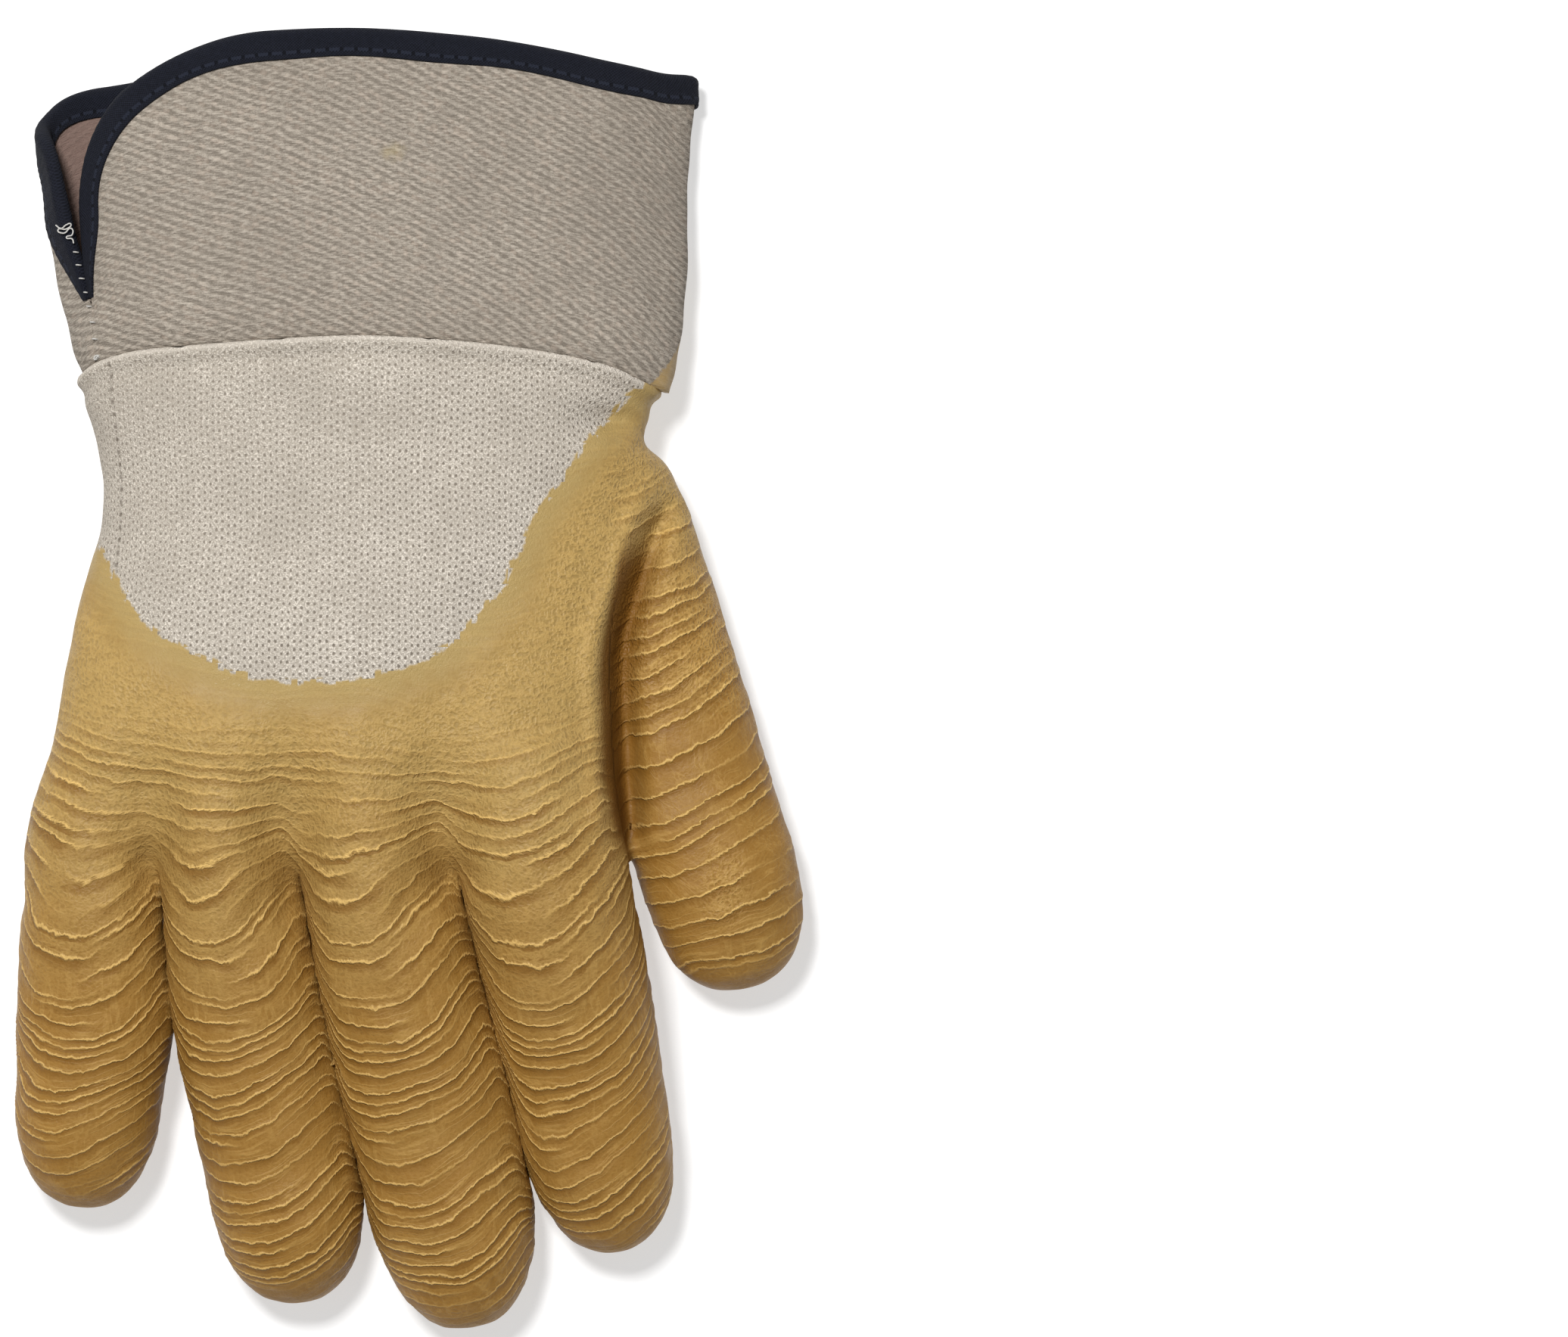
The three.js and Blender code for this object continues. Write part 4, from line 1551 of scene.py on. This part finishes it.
@dataclass(frozen=True)
class Value:
    """What a node puts out: a number, a vector or a colour, on which sums add further nodes."""

    graph: "Graph"
    socket: bpy.types.NodeSocket

    def sum(self, operation: str, *others: Any, clamp: bool = False) -> "Value":
        """Adds a sum on the value.

        Args:
            operation: what the sum does.
            others: the sum's other values, plain ones or nodes' own.
            clamp: holds a number between 0 and 1.

        Returns:
            The result, which is a vector where the value is one.
        """
        inputs = dict(enumerate((self, *others)))
        if self.socket.type == "VALUE":
            return self.graph.node("ShaderNodeMath", inputs, operation=operation, use_clamp=clamp)
        return self.graph.node("ShaderNodeVectorMath", inputs, operation=operation)

    def __add__(self, other: Any) -> "Value":
        """Returns the value and another, added."""
        return self.sum("ADD", other)

    def __sub__(self, other: Any) -> "Value":
        """Returns the value less another."""
        return self.sum("SUBTRACT", other)

    def __rsub__(self, other: float) -> "Value":
        """Returns a number less the value."""
        return self.sum("MULTIPLY_ADD", -1.0, other)

    def __mul__(self, other: Any) -> "Value":
        """Returns the value times another."""
        return self.sum("MULTIPLY", other)

    def __truediv__(self, other: float) -> "Value":
        """Returns the value over a number."""
        return self.sum("DIVIDE", other)

    def __abs__(self) -> "Value":
        """Returns the value's size."""
        return self.sum("ABSOLUTE")

    def floor(self) -> "Value":
        """Returns the whole number under the value."""
        return self.sum("FLOOR")

    def centred(self) -> "Value":
        """Returns what is over the whole number, from -0.5 to 0.5."""
        return self.sum("FRACT") - 0.5

    def held(self) -> "Value":
        """Returns the value held between 0 and 1."""
        return self.sum("ADD", 0.0, clamp=True)

    def most(self, other: Any) -> "Value":
        """Returns the larger of the value and another."""
        return self.sum("MAXIMUM", other)

    def band(self, low: float, high: float, to_low: float = 0.0, to_high: float = 1.0) -> "Value":
        """Returns the value brought from one range into another, eased and held at its ends."""
        inputs = {0: self, 1: low, 2: high, 3: to_low, 4: to_high}
        return self.graph.node("ShaderNodeMapRange", inputs, interpolation_type="SMOOTHSTEP")

    def ridge(self, sharpness: float) -> "Value":
        """Returns a ridge of height 1 wherever the value crosses a half."""
        return (1.0 - abs(self * sharpness - sharpness / 2)).most(0.0)

    def white(self, other: "Value") -> "Value":
        """Returns a random value for each pair of whole numbers."""
        inputs = {"Vector": self.graph.joined(self, other)}
        return self.graph.node("ShaderNodeTexWhiteNoise", inputs, "Value", noise_dimensions="2D")

    def mix(self, one: Any, other: Any) -> "Value":
        """Returns the mix of two colours of which the value is the second one's share."""
        pair = [colour if isinstance(colour, Value) else (*colour, 1.0) for colour in (one, other)]
        return self.graph.node("ShaderNodeMix", {0: self, 6: pair[0], 7: pair[1]}, 2, data_type="RGBA")

    def blend(self, one: Any, other: Any) -> "Value":
        """Returns the mix of two numbers of which the value is the second one's share."""
        return self.graph.node("ShaderNodeMix", {0: self, 2: one, 3: other}, data_type="FLOAT")

    def noise(
        self, scale: float | tuple[float, ...], detail: float = 3.0, rough: float = 0.5, output: int = 0
    ) -> "Value":
        """Adds noise over the value, which is a vector.

        Args:
            scale: how fine the noise is, or how fine it is along each of the vector's parts.
            detail: how many finer layers it has.
            rough: how strong each finer layer is.
            output: 0 for one number, 1 for a vector.

        Returns:
            The noise, 0.5 in the middle.
        """
        vector, size = (self * scale, 1.0) if isinstance(scale, tuple) else (self, scale)
        inputs = {"Vector": vector, "Scale": size, "Detail": detail, "Roughness": rough}
        return self.graph.node("ShaderNodeTexNoise", inputs, output)

    def length(self) -> "Value":
        """Returns the vector's length."""
        return self.graph.node("ShaderNodeVectorMath", {0: self}, "Value", operation="LENGTH")

    def split(self) -> list["Value"]:
        """Returns the vector's three parts."""
        node = self.graph.add("ShaderNodeSeparateXYZ", {0: self})
        return [Value(self.graph, socket) for socket in node.outputs]


Values = dict[str, Value]


@dataclass(frozen=True)
class Graph:
    """A node tree to which nodes are added and joined."""

    tree: bpy.types.NodeTree

    def add(self, kind: str, inputs: dict[Any, Any] | None = None, **settings: Any) -> bpy.types.Node:
        """Adds a node.

        Args:
            kind: the node's type.
            inputs: what its sockets take, plain values or nodes' own, by name or number.
            settings: the node's properties.

        Returns:
            The node.
        """
        node = self.tree.nodes.new(kind)
        for key, value in settings.items():
            setattr(node, key, value)
        for key, value in (inputs or {}).items():
            if isinstance(value, Value):
                self.tree.links.new(value.socket, node.inputs[key])
            else:
                node.inputs[key].default_value = value
        return node

    def node(
        self, kind: str, inputs: dict[Any, Any] | None = None, output: int | str = 0, **settings: Any
    ) -> Value:
        """Returns what a new node puts out."""
        return Value(self, self.add(kind, inputs, **settings).outputs[output])

    def joined(self, x: Value, y: Value) -> Value:
        """Returns the flat vector of two parts."""
        return self.node("ShaderNodeCombineXYZ", {0: x, 1: y})

    def attribute(self, name: str, output: str = "Fac") -> Value:
        """Returns what the mesh holds under a name."""
        return self.node("ShaderNodeAttribute", None, output, attribute_name=name)

    def place(self, way: str = "Object") -> Value:
        """Returns the place in the object, or in its UV map."""
        return self.node("ShaderNodeTexCoord", None, way)

    def group(self, name: str, draw: Callable[..., Values], **inputs: Value) -> Values:
        """Places a reusable group of nodes, which is built when it is first needed.

        Args:
            name: the group's name.
            draw: adds the group's nodes to a graph, and gives what the group puts out.
            inputs: what the group takes.

        Returns:
            What the group puts out.
        """
        tree = bpy.data.node_groups.get(name)
        if tree is None:
            tree = bpy.data.node_groups.new(name, "ShaderNodeTree")
            graph, taken = Graph(tree), {}
            for label, value in inputs.items():
                tree.interface.new_socket(label, in_out="INPUT", socket_type=SOCKET_KINDS[value.socket.type])
            if inputs:
                sockets = graph.add("NodeGroupInput").outputs
                taken = {label: Value(graph, sockets[label]) for label in inputs}
            drawn = draw(graph, **taken)
            for label, value in drawn.items():
                tree.interface.new_socket(label, in_out="OUTPUT", socket_type=SOCKET_KINDS[value.socket.type])
            graph.add("NodeGroupOutput", drawn)
        node = self.add("ShaderNodeGroup", None, node_tree=tree)
        for label, value in inputs.items():
            self.tree.links.new(value.socket, node.inputs[label])
        return {socket.name: Value(self, socket) for socket in node.outputs}


def material_of(
    name: str, values: dict[str, Any], draw: Callable[[Graph], Values] | None = None, bump: float = 0.0
) -> Material:
    """Makes a material.

    Args:
        name: the material's name.
        values: the shader's own numbers and colours, by socket.
        draw: adds nodes, and gives what the shader's sockets and the bump's Height take.
        bump: the bump's strength.

    Returns:
        The material.
    """
    material = bpy.data.materials.new(name)
    material.use_nodes = True
    material.node_tree.nodes.clear()
    graph = Graph(material.node_tree)
    drawn = draw(graph) if draw else {}
    if "Height" in drawn:
        relief = {"Height": drawn.pop("Height"), "Distance": MM, "Strength": bump}
        drawn["Normal"] = graph.node("ShaderNodeBump", relief)
    shader = graph.node("ShaderNodeBsdfPrincipled", {**values, **drawn})
    graph.add("ShaderNodeOutputMaterial", {0: shader})
    return material


@dataclass(frozen=True)
class HandFinish:
    """The dipped knit: bare yarn on the back, and the latex that fades into it."""

    pale: Colour = (0.355, 0.232, 0.075)
    ochre: Colour = (0.3, 0.152, 0.029)
    # shade: the colour of painted shade, in the creases' grooves and on the thumb beside the palm's edge, and
    # of the fine random grain
    shade: Colour = (0.19, 0.083, 0.011)
    # crest: the lighter colour of the crests and the crepe's wrinkles, partly the thinner latex there and
    # partly a painted highlight
    crest: Colour = (0.72, 0.47, 0.155)
    film: Colour = (0.4, 0.285, 0.108)
    # yarn and the darker yarn below it: the raised stitches are painted lighter as a highlight and the low
    # places darker as shade; the darker yarn also tints random cloudy patches
    yarn: Colour = (0.78, 0.712, 0.618)
    yarn_painted_shade_and_cloud: Colour = (0.4, 0.35, 0.288)
    # yarn_hem: the even pale yarn of the rolled hem at the wrist, partly the hem's smoother knit and partly a
    # painted highlight along its fold
    yarn_hem: Colour = (0.76, 0.69, 0.6)
    # the dark colour of the side seam's stitch marks, and of the painted shade in the knit's holes
    yarn_seam_and_painted_hole_shade: Colour = (0.12, 0.095, 0.07)
    wale: float = 1.34
    course: float = 1.7
    jags: tuple[tuple[float, float, float], ...] = ((2.62, 3.24, 0.9), (1.31, 1.62, 1.3))
    side_seam: float = -66.0
    side_stitch: float = 2.6
    bump: float = 0.9
    gloss: float = 0.22

    def knit(self, graph: Graph, place: Value) -> Values:
        """Draws the knit's stitches.

        Args:
            graph: takes the nodes.
            place: the place across and along the back, in millimetres.

        Returns:
            The stitches' height, and the holes between them.
        """
        x, y, _ = place.split()
        wale = (place.noise(0.06, 2.0) * 1.6 + x) / self.wale
        pair = (wale.floor() / 2.0).floor().sum("FLOORED_MODULO", 2.0)
        course = pair * 0.5 + y / self.course
        across, along = wale.centred(), course.centred()
        cell = wale.floor().white(course.floor())
        apart = graph.joined(across * 0.9, along).length()
        # the holes, and the shade painted in them, grow stronger towards the thumb's side and the fingers
        clear = ((place.noise(0.05, 2.0) - 0.5) * 0.5 + x * 0.003 + y * 0.004 + 0.5).held()
        hole = (cell * 0.05 + apart).band(0.28, 0.1) * (clear * 0.6 + 0.4)
        knobs = place.noise((2.9, 2.3, 2.3), 2.0, 0.6).band(0.36, 0.64)
        beside, after = ((way * math.tau).sum("COSINE") for way in (across, along))
        loops = beside * after * -0.28 + 0.28
        return {"Height": hole * -0.7 + knobs * 0.6 + loops * clear, "Hole": hole}

    def edge(self, _: Graph, stitch: Value, distance: Value) -> Values:
        """Draws the latex's jagged edge, which steps from stitch to stitch.

        Args:
            stitch: the place across and along the back, in millimetres.
            distance: how far the place is outside the bare knit.

        Returns:
            Where latex is, and where it is thick.
        """
        x, y, _ = stitch.split()
        level = (stitch.noise(0.14, 3.0, 0.6) - 0.5) * 3.0 + distance
        for across, along, jag in self.jags:
            cell = (x / across).floor().white((y / along).floor())
            level = (cell - 0.5) * jag + level
        return {"Latex": level.band(-0.3, 0.35), "Full": level.band(0.2, 8.0)}

    def creases(
        self, _: Graph, phase: Value, crest: Value, flow: Value, crepe: Value, place: Value
    ) -> Values:
        """Draws the latex's creases: sharp crests, fine folds and hair lines.

        Args:
            phase: the crests' count up to the place.
            crest: the crests' distance and strength, and the latex's depth.
            flow: the place round and along the digit, in millimetres.
            crepe: how crinkled the latex is.
            place: the place in the hand.

        Returns:
            The creases' height, their crests, and the grooves just past them, where shade is painted.
        """
        spacing, strength, deep = crest.split()
        wiggle = flow.noise((0.5, 0.5, 0.3), 3.0, 0.65) - 0.5
        crumble = flow.noise((1.9, 1.9, 0.9), 2.0, 0.6) - 0.5
        apart = (phase - phase.sum("ROUND")) * spacing + wiggle * 1.5 + crumble * 0.5
        power = (strength * 1.7).held()
        past = apart.most(0.0)
        # the band just past each crest: its share is painted darker as shade, and it sinks the bump a little
        groove = ((past * -1.7).sum("EXPONENT") * past * power * 4.4).held()
        patch = flow.noise((0.1, 0.1, 0.05), 2.0).band(0.42, 0.6)
        fold = flow.noise((0.055, 0.055, 0.62), 1.0).ridge(20.0) * (deep * 0.4 + 0.6) * patch
        vein = flow.noise((0.28, 0.28, 0.06), 3.0, 0.6).ridge(22.0) * (1.0 - patch) * deep
        crests = (abs(apart).band(0.46, 0.04) * power).most((fold * 0.25).most(vein * 0.2))
        hair = flow.noise((2.8, 2.8, 0.3), 2.0)
        worm = place.noise(900.0, 1.5, 0.45).ridge(5.0) * crepe
        height = groove * -0.04 + crests * 0.19 + hair * 0.025 + worm * 0.2
        # Crest: where the finish paints the crests and the crepe's wrinkles lighter, partly as a painted
        # highlight
        return {"Height": height, "Crest": worm * 0.4 + crests, "Groove": groove}

    def bare(self, stitch: Value, place: Value, knit: Values) -> Value:
        """Draws the bare yarn's colour.

        Args:
            stitch: the place across and along the back, and how far it is from the wrist.
            place: the place in the hand.
            knit: the stitches.

        Returns:
            The colour.
        """
        # raised stitches painted lighter and low places darker, as painted highlight and shade
        colour = knit["Height"].band(-0.1, 0.9).mix(self.yarn_painted_shade_and_cloud, self.yarn)
        # random cloudy patches of the darker yarn: the yarn's own uneven tone
        colour = place.noise(60.0).band(0.3, 0.7, 0.0, 0.3).mix(colour, self.yarn_painted_shade_and_cloud)
        x, y, edge = stitch.split()
        dash = abs((y / self.side_stitch).centred()).band(0.28, 0.4, 0.1, 0.6)
        colour = (abs(x - self.side_seam).band(0.75, 0.25) * dash).mix(colour, self.yarn_seam_and_painted_hole_shade)
        # painted shade in the knit's holes, fading out at the wrist's hem
        colour = (knit["Hole"] * edge.band(0.9, 1.8, 0.0, 0.8)).mix(colour, self.yarn_seam_and_painted_hole_shade)
        # the rolled hem drawn as an even pale band: partly its smoother knit, partly a painted highlight on
        # the fold
        return edge.band(1.3, 0.6, 0.0, 0.5).mix(colour, self.yarn_hem)

    def surface(self, graph: Graph) -> Values:
        """Draws the bare yarn and the latex over it.

        Args:
            graph: takes the nodes.

        Returns:
            What the shader and the bump take.
        """
        stitch, crest, flow = (graph.attribute(name, "Vector") for name in ("stitch", "crest", "flow"))
        dip, phase, crepe, beside = map(graph.attribute, ("dip", "phase", "crepe", "beside"))
        place = graph.place()
        knit = graph.group("Knit stitches", self.knit, place=stitch)
        edge = graph.group("Latex edge", self.edge, stitch=stitch, distance=dip)
        crease = graph.group(
            "Latex creases", self.creases, phase=phase, crest=crest, flow=flow, crepe=crepe, place=place
        )
        latex, full, thin = edge["Latex"], edge["Full"], 1.0 - edge["Full"]
        mottle = place.noise(45.0, 4.0, 0.6) - 0.5
        coat = (mottle * 0.9 + crest.split()[2]).held().mix(self.pale, self.ochre)
        for share, colour in (
            (place.noise(1500.0, 3.0, 0.7).band(0.35, 0.7, 0.0, 0.22), self.shade),
            (thin * 0.8, self.film),
            # crests and crepe wrinkles painted lighter: partly thinner latex, partly a painted highlight
            ((crease["Crest"] * 0.75).held(), self.crest),
            # painted shade in the grooves just past the crests
            (crease["Groove"] * 0.75, self.shade),
            # painted shadow that the palm's edge casts on the thumb
            (beside, self.shade),
        ):
            coat = share.mix(coat, colour)
        speck = thin * place.noise(1300.0, 2.0).band(0.62, 0.7)
        rough = speck * -0.3 + place.noise(240.0).band(0.3, 0.7, 0.45, 0.6)
        crumb = place.noise(1100.0, 4.0, 0.7) * (full * 0.1 + 0.03)
        coated = knit["Height"] * thin * 0.1 + crumb + crease["Height"]
        return {
            "Base Color": latex.mix(self.bare(stitch, place, knit), coat),
            "Roughness": latex.blend(0.92, rough),
            "Height": latex.blend(knit["Height"] * 0.3 - 0.2, coated),
        }

    def dipped(self, graph: Graph) -> Values:
        """Returns the dipped knit, which both patches share."""
        return graph.group("Dipped knit", self.surface)

    def material(self, patch: Patch) -> Material:
        """Returns the material of a patch of the hand."""
        values = {"Specular IOR Level": self.gloss}
        return material_of(f"hand {patch.name.lower()}", values, self.dipped, self.bump)


@dataclass(frozen=True)
class DrillFinish:
    """Undyed cotton drill, with a film of latex that creeps up from the wrist."""

    # light and dark: the cloth is painted lighter where its weave stands high and darker in its low places,
    # as painted highlight and shade mixed with the strands' own tone; dark also tints random cloudy patches
    light: Colour = (0.56, 0.492, 0.412)
    dark: Colour = (0.2, 0.17, 0.136)
    fleck: Colour = (0.4, 0.29, 0.22)
    # inside: the cloth's inner side painted darker brown-mauve, as painted shade
    inside: Colour = (0.21, 0.135, 0.112)
    film: Colour = (0.32, 0.214, 0.083)
    film_light: Colour = (0.4, 0.2675, 0.10375)
    stain: Colour = (0.45, 0.34, 0.12)
    stain_at: tuple[float, float, float] = (-0.0024, 0.1083, 0.024)
    pitch: float = 1.75
    floats: float = 1.4
    float_size: tuple[float, float] = (0.75, 0.42)
    slope: float = math.radians(23)
    bump: float = 0.9
    gloss: float = 0.25

    def twill(self, graph: Graph, flat: Value) -> Values:
        """Draws the twill: its slanting rows of short floats.

        Args:
            graph: takes the nodes.
            flat: the place on the flat cloth, as its UV map has it.

        Returns:
            The weave's height, and the floats' tone.
        """
        flat = flat * UV_TO_MM
        stir = flat.noise(0.45, 3.0, 0.6, 1) - (0.5, 0.5, 0.5)
        x, y, _ = (stir * (1.6, 0.8, 0.0) + flat).split()
        sine, cosine = math.sin(self.slope), math.cos(self.slope)
        bend = flat.noise(0.05) * 3.0 + y
        turn = (x * sine + bend * -cosine) / self.pitch
        half = turn * 2.0
        step = half.floor() * 0.37 + (x * cosine + bend * sine) / self.floats
        down, over = half.centred() * (self.pitch / 2), step.centred() * self.floats
        wide, high = self.float_size
        long = over * (cosine / wide) + down * (sine / wide)
        short = over * (sine / high) + down * (-cosine / high)
        tone = step.floor().white(half.floor())
        dash = graph.joined(long, short).length().band(1.4, 0.0) * (tone * 0.24 + 0.04)
        line = (turn * math.tau).sum("SINE").band(-0.95, 0.5)
        strand = flat.noise((0.6, 2.9, 1.0), 3.0, 0.65).band(0.28, 0.72)
        fuzz = flat.noise(3.4, 3.0, 0.75) * 0.75 - 0.33
        return {"Height": line * 0.23 + dash + strand * 0.44 + fuzz, "Tone": tone}

    def surface(self, graph: Graph) -> Values:
        """Draws the cloth and its film.

        Args:
            graph: takes the nodes.

        Returns:
            What the shader and the bump take.
        """
        place = graph.place()
        twill = graph.group("Twill", self.twill, flat=graph.place("UV"))
        height = twill["Height"]
        far = place.noise(400.0) * 0.004 + (place - self.stain_at).length()
        # the weave painted lighter on its raised places and darker in its low ones, as painted highlight and
        # shade
        cloth = height.band(0.1, 0.95).mix(self.dark, self.light)
        for share, colour in (
            (twill["Tone"].band(0.7, 1.0, 0.0, 0.2), self.fleck),
            (place.noise(30.0, 4.0, 0.6).band(0.35, 0.7, 0.0, 0.25), self.dark),
            (far.band(0.0062, 0.003, 0.0, 0.45), self.stain),
            # painted shade on the cloth's inner side
            (graph.attribute("inner") * 0.9, self.inside),
        ):
            cloth = share.mix(cloth, colour)
        film = (place.noise(90.0, 4.0, 0.7) * 12.0 + graph.attribute("film")).band(5.6, 6.4)
        coat = place.noise(120.0, 4.0).band(0.3, 0.7).mix(self.film, self.film_light)
        return {
            "Base Color": film.mix(cloth, (height * 0.25).mix(coat, cloth)),
            "Roughness": film.band(0.0, 1.0, 0.9, 0.5),
            "Height": height * film.band(0.0, 1.0, 0.34, 0.14) + film * 0.12,
        }

    def material(self) -> Material:
        """Returns the cloth's material."""
        return material_of("cotton drill", {"Specular IOR Level": self.gloss}, self.surface, self.bump)


@dataclass(frozen=True)
class TapeFinish:
    """Dark navy binding tape with a line of stitches near its inner edge."""

    light: Colour = (0.0125, 0.0145, 0.025)
    dark: Colour = (0.003, 0.0036, 0.007)
    thread: Colour = (0.015, 0.018, 0.03)
    stitch: float = 2.6
    stitch_row: float = -3.1
    ribs: float = 11.0
    bump: float = 0.8
    roughness: float = 0.85
    gloss: float = 0.2

    def surface(self, graph: Graph) -> Values:
        """Draws the tape's weave and its stitches.

        Args:
            graph: takes the nodes.

        Returns:
            What the shader and the bump take.
        """
        x, y, _ = (graph.place("UV") * UV_TO_MM).split()
        weave = (x * self.ribs).sum("SINE") * (y * self.ribs).sum("SINE")
        fuzz = graph.place().noise(1500.0, 3.0, 0.7)
        row = abs(y - self.stitch_row).band(0.45, 0.2)
        stitch = row * abs((x / self.stitch).centred()).band(0.42, 0.34)
        height = weave * 0.12 + fuzz * 0.3 + stitch * 0.4 + row * -0.2
        colour = height.band(0.0, 0.35).mix(self.dark, self.light)
        return {"Base Color": stitch.mix(colour, self.thread), "Height": height}

    def material(self) -> Material:
        """Returns the tape's material."""
        values = {"Roughness": self.roughness, "Specular IOR Level": self.gloss}
        return material_of("binding tape", values, self.surface, self.bump)


@dataclass(frozen=True)
class ThreadFinish:
    """White sewing thread."""

    colour: Colour = (0.5, 0.485, 0.455)
    roughness: float = 0.7

    def material(self) -> Material:
        """Returns the thread's material."""
        return material_of("white thread", {"Base Color": (*self.colour, 1), "Roughness": self.roughness})


# The room


@dataclass(frozen=True)
class Room:
    """A pale floor, a soft light from the upper left and a camera overhead, in metres."""

    centre: tuple[float, float] = (0.0784, 0.0021)
    camera_height: float = 1.5
    sensor: float = 36.0
    lens: float = 163.9
    floor_size: float = 3.0
    floor_level: float = -0.0002
    floor_colour: Colour = (0.5, 0.5, 0.5)
    floor_glow: float = 0.55
    key_at: tuple[float, float, float] = (-0.2, 0.42, 1.22)
    key_energy: float = 18.0
    key_size: float = 0.22
    sky: float = 0.25

    def build_floor(self) -> None:
        """Lays the floor under the glove."""
        bm = bmesh.new()
        bmesh.ops.create_grid(bm, x_segments=1, y_segments=1, size=self.floor_size)
        bmesh.ops.translate(bm, verts=bm.verts, vec=(0, 0, self.floor_level))
        mesh = mesh_of("floor", bm)
        glow = {"Emission Color": (1, 1, 1, 1), "Emission Strength": self.floor_glow}
        paper = {"Base Color": (*self.floor_colour, 1), "Roughness": 0.9, **glow}
        mesh.materials.append(material_of("paper", paper))
        new_object("floor", mesh)

    def build_lights(self) -> None:
        """Hangs the lights."""
        light = bpy.data.lights.new("key", "AREA")
        light.energy, light.size = self.key_energy, self.key_size
        lamp = new_object("key", light)
        lamp.location = self.key_at
        lamp.rotation_euler = (-Vector(self.key_at)).to_track_quat("-Z", "Y").to_euler()
        world = bpy.data.worlds.new("sky")
        world.use_nodes = True
        sky = world.node_tree.nodes["Background"].inputs
        sky[0].default_value, sky[1].default_value = (1, 1, 1, 1), self.sky
        bpy.context.scene.world = world
        bpy.context.scene.view_settings.view_transform = "Standard"

    def build_camera(self) -> None:
        """Sets the camera straight over the middle of the picture."""
        data = bpy.data.cameras.new("camera")
        data.sensor_width, data.lens = self.sensor, self.lens
        camera = new_object("camera", data)
        camera.location = (*self.centre, self.camera_height)
        bpy.context.scene.camera = camera


def join_to_frame(piece: Object, slot: Slot, *nodes: str) -> None:
    """Lets a piece move with the glove, and stand for solids.

    Args:
        piece: the piece.
        slot: its material slot; not used.
        nodes: the solids that it stands for.
    """
    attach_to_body(piece, "root")
    if nodes:
        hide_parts(*nodes)


def main() -> None:
    """Builds the glove and its room."""
    logging.basicConfig(level=logging.INFO, format="%(name)s: %(message)s")
    hand = Hand(HandFinish()).build()
    cloth = CuffCloth()
    cuff = Cuff(cloth, DrillFinish().material(), TapeFinish().material())
    drill, tape = cuff.build_cloth(), cuff.build_tape()
    threads = Threads(cloth, ThreadFinish().material()).build()
    join_to_frame(hand[Patch.LATEX], Slot.LATEX, "latex_hand")
    join_to_frame(hand[Patch.KNIT], Slot.KNIT, "knit_back")
    join_to_frame(drill, Slot.DRILL, "cuff")
    join_to_frame(tape, Slot.TAPE, "cuff_binding")
    join_to_frame(threads, Slot.KNIT)
    heights = cloth.height(np.linspace(0, cloth.length, 99))
    cloth.area()
    room = Room()
    room.build_floor()
    room.build_lights()
    room.build_camera()


if __name__ == "__main__":
    main()
